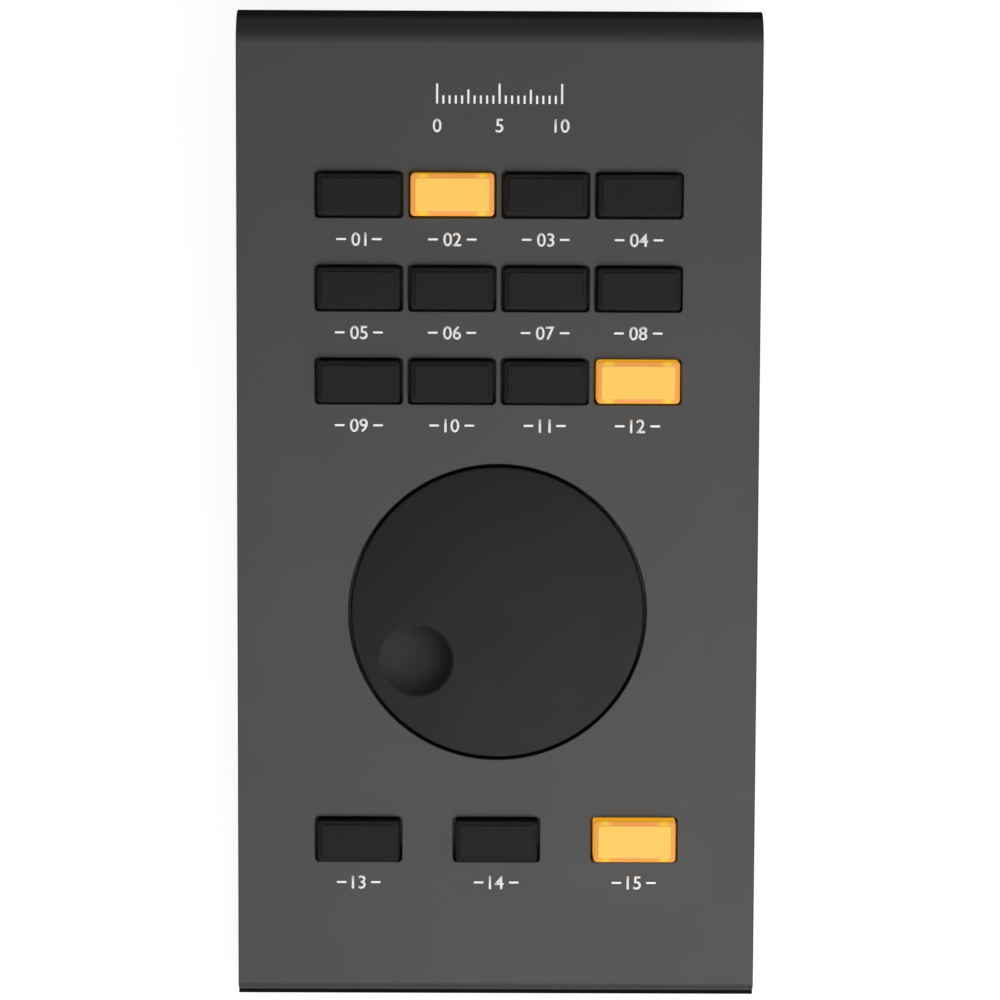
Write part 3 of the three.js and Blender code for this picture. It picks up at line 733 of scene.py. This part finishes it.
def floor_material():
    """Pale floor that the camera sees lifted to white; mirrors see it white away from the part."""
    finish, tree, shader = material("floor")
    shader.inputs["Base Color"].default_value = (*grey(FLOOR_GREY), 1)
    shader.inputs["Roughness"].default_value = 0.9
    shader.inputs["Specular IOR Level"].default_value = 0.1
    path = tree.nodes.new("ShaderNodeLightPath")
    seen = maths(
        tree, "MAXIMUM", path.outputs["Is Camera Ray"], path.outputs["Is Transmission Ray"],
    )
    away = tree.nodes.new("ShaderNodeVectorMath")
    away.operation = "LENGTH"
    tree.links.new(coordinates(tree), away.inputs[0])
    distance = maths(tree, "MULTIPLY", away.outputs["Value"], 1 / FLOOR_CLEAR_DISTANCE)
    clear = spread(tree, distance, 0.0, FLOOR_MIRRORED_GLOW)
    lift = maths(
        tree, "MAXIMUM", maths(tree, "MULTIPLY", seen, FLOOR_SEEN_GLOW),
        maths(tree, "MULTIPLY", path.outputs["Is Glossy Ray"], clear),
    )
    glow = tree.nodes.new("ShaderNodeEmission")
    glow.inputs["Strength"].default_value = FLOOR_GLOW
    blend = tree.nodes.new("ShaderNodeMixShader")
    tree.links.new(lift, blend.inputs["Fac"])
    tree.links.new(shader.outputs["BSDF"], blend.inputs[1])
    tree.links.new(glow.outputs["Emission"], blend.inputs[2])
    tree.links.new(blend.outputs["Shader"], tree.nodes["Material Output"].inputs["Surface"])
    return finish


def make_stage():
    """Pale floor, studio sky and soft lights from the front and the front right."""
    bpy.context.scene.view_settings.view_transform = "Standard"
    make_sky()
    bm = bmesh.new()
    bmesh.ops.create_grid(bm, x_segments=8, y_segments=8, size=FLOOR_HALF)
    mesh = bpy.data.meshes.new("floor")
    bm.to_mesh(mesh)
    bm.free()
    floor = bpy.data.objects.new("floor", mesh)
    bpy.context.scene.collection.objects.link(floor)
    mesh.materials.append(floor_material())
    make_softbox("key_light", toward(*KEY_LIGHT_TOWARD), KEY_LIGHT_SIZE, KEY_LIGHT_WATTS)
    make_softbox("front_light", toward(*FRONT_LIGHT_TOWARD), FRONT_LIGHT_SIZE, FRONT_LIGHT_WATTS)


def make_shell(finish):
    """The top shell: a flat blank with its cut-outs, folded as the real sheet is."""
    low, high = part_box("top_shell")
    half = high.x
    inner_half = half - SIDE_SHEET - FIT_GAP
    corner_run = (ROW_ONE.y - low.y) / math.cos(SLOPE)
    corner_height = ROW_ONE.z - corner_run * math.sin(SLOPE)
    front_angle = math.pi / 2 - SLOPE
    rear_angle = math.pi / 2 + SLOPE
    front_reach = FRONT_BEND * math.tan(front_angle / 2)
    rear_run = (high.y - ROW_ONE.y - REAR_BEND * (1 + math.sin(SLOPE))) / math.cos(SLOPE)
    rear_top = ROW_ONE.z + rear_run * math.sin(SLOPE) - REAR_BEND * math.cos(SLOPE)
    line = FoldLine((low.y + FLANGE_DEPTH, low.z), math.pi, [
        (FLANGE_DEPTH - FLANGE_BEND, FLANGE_BEND, math.pi / 2),
        (corner_height - low.z - FLANGE_BEND - front_reach, FRONT_BEND, front_angle),
        (corner_run - front_reach + rear_run, REAR_BEND, rear_angle),
        (rear_top - low.z - FLANGE_BEND, FLANGE_BEND, math.pi / 2),
        (FLANGE_DEPTH - FLANGE_BEND, 0, 0),
    ])
    flange, _, panel, wall, _ = line.runs()
    row_one_along = panel[1] - rear_run

    outer = [
        (inner_half, 0), (inner_half, flange[1]), (half, flange[1]),
        (half, wall[1]), (inner_half, wall[1]), (inner_half, line.length),
        (-inner_half, line.length), (-inner_half, wall[1]), (-half, wall[1]),
        (-half, flange[1]), (-inner_half, flange[1]), (-inner_half, 0),
    ]
    holes = []
    for number in KEY_NUMBERS:
        box_low, box_high = panel_box(f"key_cap_{number:02d}")
        middle = (box_low + box_high) / 2
        holes.append(rounded_rectangle(
            KEY_WINDOW.x / 2, KEY_WINDOW.y / 2, KEY_WINDOW_CORNER,
            x=middle.x, y=row_one_along + middle.y - KEY_WINDOW_DROP,
        ))
    hole_radius = DIAL_RADIUS + DIAL_HOLE_GAP
    holes.append(circle(hole_radius, DIAL_SIDES, y=row_one_along - DIAL_FROM_ROW_ONE))
    usb_low, usb_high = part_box("usb_socket")
    nut_low, nut_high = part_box("jack_nut")
    usb_middle = (usb_low + usb_high) / 2
    nut_middle = (nut_low + nut_high) / 2
    holes.append(rounded_rectangle(
        (usb_high.x - usb_low.x) / 2 + FIT_GAP, (usb_high.z - usb_low.z) / 2 + FIT_GAP, USB_CORNER,
        x=usb_middle.x, y=wall[0] + rear_top - usb_middle.z,
    ))
    jack_along = wall[0] + rear_top - nut_middle.z
    holes.append(circle(JACK_HOLE_RADIUS, HOLE_SIDES, nut_middle.x, jack_along))
    for number in CORNER_NUMBERS:
        screw_low, screw_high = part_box(f"foot_screw_{number}")
        screw = (screw_low + screw_high) / 2
        if screw.y < 0:
            along = low.y + FLANGE_DEPTH - screw.y
        else:
            along = line.length - (screw.y - (high.y - FLANGE_DEPTH))
        holes.append(circle(SCREW_HOLE_RADIUS, PIN_SIDES, screw.x, along))

    mesh = plate("top_shell_sheet", outer, holes, SHEET, CUT_EDGE)
    fold_sheet(mesh, line)
    add_object("top_shell_folded", mesh, STILL, "housing", finish, ["top_shell"])


def make_shell_studs(finish):
    """The four studs under the panel that carry the main board."""
    for number in CORNER_NUMBERS:
        box_low, box_high = panel_box(f"board_nut_{number}")
        stud = lathe(f"shell_stud_{number}_mesh", [
            (STUD_PIN_RADIUS - CUT_EDGE, -STUD_PIN_DEPTH),
            (STUD_PIN_RADIUS, CUT_EDGE - STUD_PIN_DEPTH), (STUD_PIN_RADIUS, -STUD_DEPTH),
            (STUD_RADIUS - CUT_EDGE, -STUD_DEPTH), (STUD_RADIUS, CUT_EDGE - STUD_DEPTH),
            (STUD_RADIUS, -SHEET / 2),
        ], PIN_SIDES)
        smooth(stud)
        middle = (box_low + box_high) / 2
        place = PANEL @ Matrix.Translation((middle.x, middle.y, 0))
        add_object(f"shell_stud_{number}", stud, place, "housing", finish)


def make_key_cap(number, finishes):
    """One key cap: a hollow cap with a sloped band round a slightly raised face, and a stem."""
    name = f"key_cap_{number:02d}"
    low, high = panel_box(name)
    middle = (low + high) / 2
    half = (high - low) / 2
    roof = high.z - KEY_ROOF
    profile = [
        (KEY_WALL, KEY_INNER_CORNER, roof),
        (KEY_WALL, KEY_INNER_CORNER, -KEY_SKIRT),
        (KEY_SKIRT_EDGE, KEY_CORNER, -KEY_SKIRT),
        (0, KEY_CORNER, KEY_SKIRT_EDGE - KEY_SKIRT),
    ]
    for inset, corner, depth in KEY_TOP_RINGS:
        profile.append((inset * MM, corner * MM, high.z - depth * MM))
    cap = loft(name + "_cap", [
        (rounded_rectangle(half.x - inset, half.y - inset, corner), height)
        for inset, corner, height in profile
    ])
    outline = rounded_rectangle(STEM_HALF.x, STEM_HALF.y, STEM_CORNER)
    stem = loft(name + "_stem", [(outline, low.z), (outline, roof)])
    mesh = join_meshes(name + "_mesh", [(cap, STILL), (stem, STILL)])
    smooth(mesh, 35)
    place = PANEL @ Matrix.Translation((middle.x, middle.y, 0))
    slot = "key_lit" if number in LIT_KEYS else "key_dark"
    add_object(name + "_moulded", mesh, place, f"key_{number:02d}", finishes[slot], [name])


def crowned(points, drop=0.0):
    """Points on the dial's crowned top, a little below it in the dimple."""
    fall = DIAL_CROWN / (DIAL_RADIUS - DIAL_EDGE) ** 2
    return [(x, y, DIAL_TOP - fall * (x * x + y * y) - drop) for x, y in points]


def dial_side_rings():
    """Rings of the dial from its bore, round its underside, to the edge of its top."""
    edge_top = DIAL_TOP - DIAL_CROWN
    under = DIAL_TOP - DIAL_THICKNESS
    wheel = [
        (BORE_RADIUS, DIAL_TOP - BORE_ROOF), (BORE_RADIUS, under - DIAL_HUB_DROP),
        (DIAL_HUB, under - DIAL_HUB_DROP), (DIAL_HUB, under),
        (DIAL_RADIUS - DIAL_UNDER_EDGE, under), (DIAL_RADIUS, under + DIAL_UNDER_EDGE),
    ]
    for i in range(DIAL_EDGE_STEPS + 1):
        angle = math.pi / 2 * i / DIAL_EDGE_STEPS
        wheel.append((
            DIAL_RADIUS - DIAL_EDGE * (1 - math.cos(angle)),
            edge_top - DIAL_EDGE * (1 - math.sin(angle)),
        ))
    return [[(x, y, z) for x, y in circle(radius, DIAL_SIDES)] for radius, z in wheel]


def dial_top_rings():
    """Rings of the dial's top, from inside the dimple over its soft rim to the edge."""
    scoop = []
    for i in range(1, DIMPLE_STEPS + 1):
        radius = (DIMPLE_RADIUS - DIMPLE_SOFT) * i / DIMPLE_STEPS
        share = radius / DIMPLE_RADIUS
        drop = DIMPLE_DEPTH * (1 - share ** DIMPLE_POWER)
        scoop.append((radius, drop, DIMPLE_PLACE + DIMPLE_LEAN * (1 - share)))
    lip_radius, lip_drop, centre = scoop[-1]
    lip_slope = DIMPLE_DEPTH * DIMPLE_POWER / DIMPLE_RADIUS * share ** (DIMPLE_POWER - 1)
    reach = 2 * lip_drop / lip_slope
    for i in range(1, DIMPLE_RIM_STEPS + 1):
        part = i / DIMPLE_RIM_STEPS
        scoop.append((lip_radius + reach * part, lip_drop * (1 - part) ** 2, centre))
    rings = []
    for radius, drop, place in scoop:
        rings.append(crowned(circle(radius, DIAL_SIDES, place.x, place.y), drop))
    mouth = lip_radius + reach
    for share in DIAL_TOP_SHARES:
        place = centre * (1 - share)
        radius = mouth + (DIAL_RADIUS - DIAL_EDGE - mouth) * share
        rings.append(crowned(circle(radius, DIAL_SIDES, place.x, place.y)))
    return rings


def make_dial(finish):
    """The dial: a turned wheel with a slight crown and a round finger dimple with a soft rim."""
    bm = bmesh.new()
    rings = dial_side_rings() + dial_top_rings()[::-1]
    loops = [[bm.verts.new(point) for point in ring] for ring in rings]
    for lower, upper in zip(loops, loops[1:]):
        for i in range(DIAL_SIDES):
            j = (i + 1) % DIAL_SIDES
            bm.faces.new((lower[i], lower[j], upper[j], upper[i]))
    bm.faces.new(loops[0])
    deepest = DIMPLE_PLACE + DIMPLE_LEAN
    pole = bm.verts.new(crowned([deepest], DIMPLE_DEPTH)[0])
    for i in range(DIAL_SIDES):
        bm.faces.new((loops[-1][i], loops[-1][(i + 1) % DIAL_SIDES], pole))
    bmesh.ops.recalc_face_normals(bm, faces=bm.faces)
    mesh = bpy.data.meshes.new("dial_wheel_mesh")
    bm.to_mesh(mesh)
    bm.free()
    smooth(mesh, 50)
    place = PANEL @ Matrix.Translation((0, -DIAL_FROM_ROW_ONE, 0))
    add_object("dial_wheel_turned", mesh, place, "dial", finish, ["dial_wheel"])


def make_foot(number, finish):
    """A round rubber foot with a soft edge, a shallow ring and a recess for its screw."""
    name = f"foot_{number}"
    low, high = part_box(name)
    radius = (high.x - low.x) / 2
    height = high.z - low.z
    hole = SCREW_RADIUS + FIT_GAP
    recess = SCREW_HEAD_RADIUS + FIT_GAP
    seat = height - FOOT_WEB
    profile = [(hole, height), (hole, seat), (recess, seat)]
    profile += [(recess + beyond * MM, up * MM) for beyond, up in FOOT_MOUTH]
    profile += [(out * MM, up * MM) for out, up in FOOT_GROOVE]
    for i in range(FOOT_ROUND_STEPS + 1):
        angle = math.pi / 2 * i / FOOT_ROUND_STEPS
        profile.append((
            radius - FOOT_ROUND * (1 - math.sin(angle)), FOOT_ROUND * (1 - math.cos(angle)),
        ))
    profile += [(radius, height - FOOT_TOP_EDGE), (radius - FOOT_TOP_EDGE, height)]
    mesh = lathe(name + "_turned", profile, FOOT_SIDES, looped=True)
    smooth(mesh, 35)
    place = Matrix.Translation(((low.x + high.x) / 2, (low.y + high.y) / 2, low.z))
    add_object(name + "_rubber", mesh, place, "housing", finish, [name])


def make_foot_screw(number, finish):
    """A domed screw with a hexagon socket and a threaded shank."""
    name = f"foot_screw_{number}"
    low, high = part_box(name)
    length = high.z - low.z
    thread_end = length - SCREW_POINT_LENGTH
    profile = list(zip(SCREW_POINT_RADII, (length, thread_end)))
    steps = int((thread_end - SCREW_HEAD_HEIGHT) / (SCREW_PITCH / 2))
    for i in range(1, steps):
        radius = SCREW_RADIUS - (SCREW_THREAD_DEPTH if i % 2 else 0)
        profile.append((radius, thread_end - i * SCREW_PITCH / 2))
    profile += [(radius * MM, height * MM) for radius, height in SCREW_HEAD_PROFILE]
    rings = [(circle(radius, SCREW_SIDES), height) for radius, height in profile]
    drive = hexagon(SCREW_DRIVE_FLATS, SCREW_SIDES)
    rings += [(drive, SCREW_DRIVE_LEAD), (drive, SCREW_DRIVE_DEPTH)]
    mesh = loft(name + "_turned", rings)
    smooth(mesh, 30)
    place = Matrix.Translation(((low.x + high.x) / 2, (low.y + high.y) / 2, low.z))
    add_object(name + "_domed", mesh, place, "housing", finish, [name])


def rear_place(x, y, z):
    """Places a mesh so that its own z axis points out of the rear wall."""
    turn = Matrix(((-1, 0, 0), (0, 0, 1), (0, 1, 0))).to_4x4()
    return Matrix.Translation((x, y, z)) @ turn


def make_jack(black, steel):
    """The foot switch jack: a moulded body, a threaded nose, a deep bore and its springs."""
    low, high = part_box("foot_switch_jack")
    nut_low, nut_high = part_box("jack_nut")
    x = (nut_low.x + nut_high.x) / 2
    z = (nut_low.z + nut_high.z) / 2
    tip = high.y
    face = high.y - JACK_NOSE_REACH - SHEET - FIT_GAP
    half = Vector(((high.x - low.x) / 2, (high.z - low.z) / 2))
    edge = JACK_BODY_EDGE
    full = rounded_rectangle(half.x, half.y, JACK_BODY_CORNER, JACK_CORNER_STEPS)
    small = rounded_rectangle(half.x - edge, half.y - edge, JACK_BODY_CORNER, JACK_CORNER_STEPS)
    rings = [(small, low.y - face), (full, low.y - face + edge), (full, -edge), (small, 0)]

    nose = tip - face
    profile = [(JACK_NOSE_RADIUS, 0)]
    turns = int((nose - JACK_NOSE_EDGE) / (JACK_THREAD_PITCH / 2))
    for i in range(1, turns + 1):
        radius = JACK_NOSE_RADIUS - (JACK_THREAD_DEPTH if i % 2 else 0)
        profile.append((radius, i * JACK_THREAD_PITCH / 2))
    for beyond, depth in JACK_MOUTH:
        profile.append((JACK_BORE_RADIUS + beyond * MM, nose - depth * MM))
    profile.append((JACK_BORE_RADIUS, nose - JACK_BORE_DEPTH))
    count = len(full)
    for radius, height in profile:
        rings.append((circle(radius, count, start=math.pi / count), height))
    mesh = loft("foot_switch_jack_mesh", rings)
    smooth(mesh, 30)
    add_object(
        "foot_switch_jack_body", mesh, rear_place(x, face, z), "housing", black,
        ["foot_switch_jack"],
    )
    springs = []
    for depth, side in JACK_SPRINGS:
        rings = []
        for out, up in SPRING_PATH:
            outline = rounded_rectangle(*SPRING_HALF, SPRING_CORNER, 2, y=-out * MM)
            rings.append((outline, up * MM))
        strip = loft("spring", rings)
        turn = Matrix.Rotation(math.radians(side), 4, "Z")
        place = turn @ Matrix.Translation((0, 0, nose - depth))
        springs.append((strip, place))
    mesh = join_meshes("jack_springs_mesh", springs)
    smooth(mesh)
    add_object(
        "jack_springs", mesh, rear_place(x, face, z), "housing", steel,
    )


def make_jack_nut(finish):
    """A hexagon nut with its corners turned down and its bore chamfered."""
    low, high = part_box("jack_nut")
    across = Vector((high.x - low.x, high.z - low.z))
    flats = min(across)
    thick = high.y - low.y
    count = NUT_SIDES
    bore = JACK_NOSE_RADIUS + NUT_BORE_GAP
    rings = [
        (circle(bore, count), NUT_CHAMFER),
        (circle(bore + NUT_CHAMFER, count), 0),
        (hexagon(flats, count, flats / 2 * 1.02), 0),
        (hexagon(flats, count, flats / 2 * 1.09), 0.2 * MM),
        (hexagon(flats, count), 0.45 * MM),
        (hexagon(flats, count), thick - 0.45 * MM),
        (hexagon(flats, count, flats / 2 * 1.09), thick - 0.2 * MM),
        (hexagon(flats, count, flats / 2), thick),
        (circle(bore + NUT_CHAMFER, count), thick),
        (circle(bore, count), thick - NUT_CHAMFER),
    ]
    mesh = loft("jack_nut_mesh", rings, looped=True)
    smooth(mesh, 25)
    turn = Matrix.Rotation(math.pi / 6 if across.x > across.y else 0.0, 4, "Z")
    place = rear_place((low.x + high.x) / 2, low.y, (low.z + high.z) / 2) @ turn
    add_object("jack_nut_turned", mesh, place, "housing", finish, ["jack_nut"])


def mouth_outline(half_x, half_y, chamfer):
    """The square socket's mouth: a rectangle with its two upper corners cut off."""
    return [
        (half_x, -half_y), (half_x, half_y - chamfer), (half_x - chamfer, half_y),
        (chamfer - half_x, half_y), (-half_x, half_y - chamfer), (-half_x, -half_y),
    ]


def make_usb_socket(steel, black):
    """The data socket: a pressed steel box, a moulded insert with its tongue, and contacts."""
    low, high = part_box("usb_socket")
    half = Vector(((high.x - low.x) / 2, (high.z - low.z) / 2))
    length = high.y - low.y
    rim = half - Vector((USB_WALL, USB_WALL))
    outline = rounded_rectangle(half.x, half.y, USB_OUTER_CORNER)
    opening = mouth_outline(rim.x - 0.5 * MM, rim.y - 0.4 * MM, USB_MOUTH_CHAMFER)
    front = plate("usb_front", outline, [opening], USB_FRONT_THICKNESS, USB_FRONT_EDGE)
    back = loft("usb_back", [(outline, -length), (outline, -0.35 * MM)], close_end=False)
    mesh = join_meshes("usb_shell_mesh", [(front, STILL), (back, STILL)])
    smooth(mesh)
    place = rear_place((low.x + high.x) / 2, high.y, (low.z + high.z) / 2)
    add_object("usb_socket_shell", mesh, place, "housing", steel, ["usb_socket"])

    mouth = USB_MOUTH / 2
    sleeve = loft("usb_sleeve", [
        (mouth_outline(rim.x - 0.1 * MM, rim.y - 0.1 * MM, USB_MOUTH_CHAMFER), -0.45 * MM),
        (mouth_outline(mouth.x, mouth.y, USB_MOUTH_CHAMFER), -0.45 * MM),
        (mouth_outline(mouth.x, mouth.y, USB_MOUTH_CHAMFER), -USB_MOUTH_DEPTH),
    ], close_start=False)
    tongue_half = USB_TONGUE / 2
    outline = rounded_rectangle(tongue_half.x, tongue_half.y, USB_TONGUE_CORNER)
    tip = rounded_rectangle(tongue_half.x - 0.3 * MM, tongue_half.y - 0.3 * MM, 0.1 * MM)
    tongue = loft("usb_tongue", [
        (outline, -USB_MOUTH_DEPTH), (outline, -USB_TONGUE_RECESS - 0.4 * MM),
        (tip, -USB_TONGUE_RECESS),
    ])
    mesh = join_meshes("usb_insert_mesh", [(sleeve, STILL), (tongue, STILL)])
    smooth(mesh)
    add_object("usb_socket_insert", mesh, place, "housing", black)

    contacts = []
    outline = rounded_rectangle(USB_CONTACT_HALF.x, USB_CONTACT_HALF.y, 0.05 * MM, 2)
    for side_x in (-1, 1):
        for side_y in (-1, 1):
            strip = loft("contact", [(outline, -USB_MOUTH_DEPTH), (outline, -USB_CONTACT_RECESS)])
            at = Matrix.Translation((side_x * USB_CONTACT_X, side_y * tongue_half.y, 0))
            contacts.append((strip, at))
    mesh = join_meshes("usb_contacts_mesh", contacts)
    smooth(mesh)
    add_object("usb_socket_contacts", mesh, place, "housing", steel)


def ink_bar(half_x, half_y, x, y):
    """A short printed bar with round ends."""
    corner = min(half_x, half_y) * 0.6
    points = rounded_rectangle(half_x, half_y, corner, 3, x, y)
    return loft("bar", [(points, 0), (points, INK_THICKNESS)])


def number_mesh(text, height, x, y):
    """Printed digits, centred on a place."""
    curve = bpy.data.curves.new("digits", "FONT")
    curve.body = text
    curve.align_x = "CENTER"
    curve.align_y = "CENTER"
    curve.resolution_u = 6
    curve.offset = DIGIT_SWELL
    holder = bpy.data.objects.new("digits", curve)
    bpy.context.scene.collection.objects.link(holder)
    bpy.context.view_layer.update()
    graph = bpy.context.evaluated_depsgraph_get()
    flat = bpy.data.meshes.new_from_object(holder.evaluated_get(graph))
    bpy.data.objects.remove(holder)
    ys = [v.co.y for v in flat.vertices]
    xs = [v.co.x for v in flat.vertices]
    scale = height / (max(ys) - min(ys))
    width = (max(xs) - min(xs)) * scale
    shift = Matrix.Translation((-(max(xs) + min(xs)) / 2, -(max(ys) + min(ys)) / 2, 0))
    flat.transform(Matrix.Translation((x, y, 0)) @ Matrix.Scale(scale, 4) @ shift)
    bm = bmesh.new()
    bm.from_mesh(flat)
    bmesh.ops.remove_doubles(bm, verts=bm.verts, dist=1e-7)
    grown = bmesh.ops.extrude_face_region(bm, geom=bm.faces[:])
    raised = [v for v in grown["geom"] if isinstance(v, bmesh.types.BMVert)]
    bmesh.ops.translate(bm, verts=raised, vec=(0, 0, INK_THICKNESS))
    bmesh.ops.recalc_face_normals(bm, faces=bm.faces)
    bm.to_mesh(flat)
    bm.free()
    return flat, width


def make_legends(finish):
    """White print: a plain number with two rules under each key, and a plain scale at the top."""
    place = PANEL @ Matrix.Translation((0, 0, INK_LIFT))
    for number in KEY_NUMBERS:
        low, high = panel_box(f"key_cap_{number:02d}")
        x = (low.x + high.x) / 2
        y = (low.y + high.y) / 2 - LEGEND_DROP
        digits, width = number_mesh(f"{number:02d}", LEGEND_HEIGHT, x, y)
        parts = [(digits, STILL)]
        reach = width / 2 + RULE_GAP + RULE_LENGTH / 2
        for side in (-1, 1):
            parts.append((ink_bar(RULE_LENGTH / 2, RULE_THICKNESS / 2, x + side * reach, y), STILL))
        mesh = join_meshes(f"legend_{number:02d}", parts)
        add_object(f"legend_{number:02d}", mesh, place, "housing", finish)
    parts = []
    for step in range(SCALE_STEPS + 1):
        length = SCALE_SHORT
        if step % 5 == 0:
            length = SCALE_MIDDLE
        if step % 10 == 0:
            length = SCALE_LONG
        x = (step - SCALE_STEPS / 2) * SCALE_PITCH
        bar = ink_bar(RULE_THICKNESS / 2, length / 2, x, SCALE_PLACE_Y + length / 2)
        parts.append((bar, STILL))
    for text, step in (("0", 0), ("5", SCALE_STEPS / 2), ("10", SCALE_STEPS)):
        x = (step - SCALE_STEPS / 2) * SCALE_PITCH
        digits, _ = number_mesh(text, LEGEND_HEIGHT, x, SCALE_NUMBER_Y)
        parts.append((digits, STILL))
    mesh = join_meshes("legend_scale", parts)
    add_object("legend_scale", mesh, place, "housing", finish)


def dress_cad_nodes(finishes):
    """Gives each CAD node its finish, and rounds the tray's edges."""
    slots = {row["node"]: row["material_slot"] for row in frame["record"]["subparts"]}
    for name, node in frame["nodes"].items():
        node.data.materials.clear()
        node.data.materials.append(finishes[slots[name]])
    tray = frame["nodes"]["base_tray"]
    weld = tray.modifiers.new("weld", "WELD")
    weld.merge_threshold = 1e-6
    flatten = tray.modifiers.new("flatten", "DECIMATE")
    flatten.decimate_type = "DISSOLVE"
    flatten.angle_limit = math.radians(2)
    edge = tray.modifiers.new("edge", "BEVEL")
    edge.width = TRAY_EDGE
    edge.segments = 2
    edge.limit_method = "ANGLE"
    edge.angle_limit = math.radians(50)
    edge.harden_normals = False


def make_finishes():
    """The finish of each material slot, and the ink."""
    cap_low, cap_high = panel_box("key_cap_02")
    black, rubber = (0.012, 0.012, 0.013), (0.014, 0.014, 0.015)
    return {
        "shell": painted_sheet("shell", grey(0.0225), 0.54, 0.462),
        "tray": coated("tray", grey(0.0025), 0.08, 0.72, 2600.0, 0.00001, 0.1),
        "foot_rubber": coated("foot_rubber", rubber, 0.15, 0.8, 1800.0, 0.00002),
        "key_dark": coated("key_dark", grey(0.0135), 0.05, 0.55, 3000.0, 0.000004, 0.07),
        "dial": coated("dial", grey(0.0028), 0.05, 0.42, 5000.0, 0.000004, 0.115),
        "circuit_board": board_material(),
        "switch_body": coated("switch_body", grey(0.006), 0.1, 0.5, 2000.0, 0.00001, 0.3),
        "moulded_black": coated("moulded_black", black, 0.1, 0.45, 2200.0, 0.00001),
        "plated_steel": metal("plated_steel", (0.60, 0.60, 0.61), 0.25),
        "socket_steel": metal("socket_steel", (0.66, 0.65, 0.63), 0.3),
        "ribbon": ribbon_material(),
        "key_lit": lit_plastic("key_lit", (cap_high - cap_low) / 2, cap_high.z),
        "ink": coated("ink", grey(0.86), 0.02, 0.5, 3000.0, 0.000005, 0.3),
    }


finishes = make_finishes()
make_camera()
make_stage()
dress_cad_nodes(finishes)
make_shell(finishes["shell"])
make_shell_studs(finishes["shell"])
for key_number in KEY_NUMBERS:
    make_key_cap(key_number, finishes)
make_dial(finishes["dial"])
for corner_number in CORNER_NUMBERS:
    make_foot(corner_number, finishes["foot_rubber"])
    make_foot_screw(corner_number, finishes["plated_steel"])
make_jack(finishes["moulded_black"], finishes["socket_steel"])
make_jack_nut(finishes["plated_steel"])
make_usb_socket(finishes["socket_steel"], finishes["moulded_black"])
make_legends(finishes["ink"])
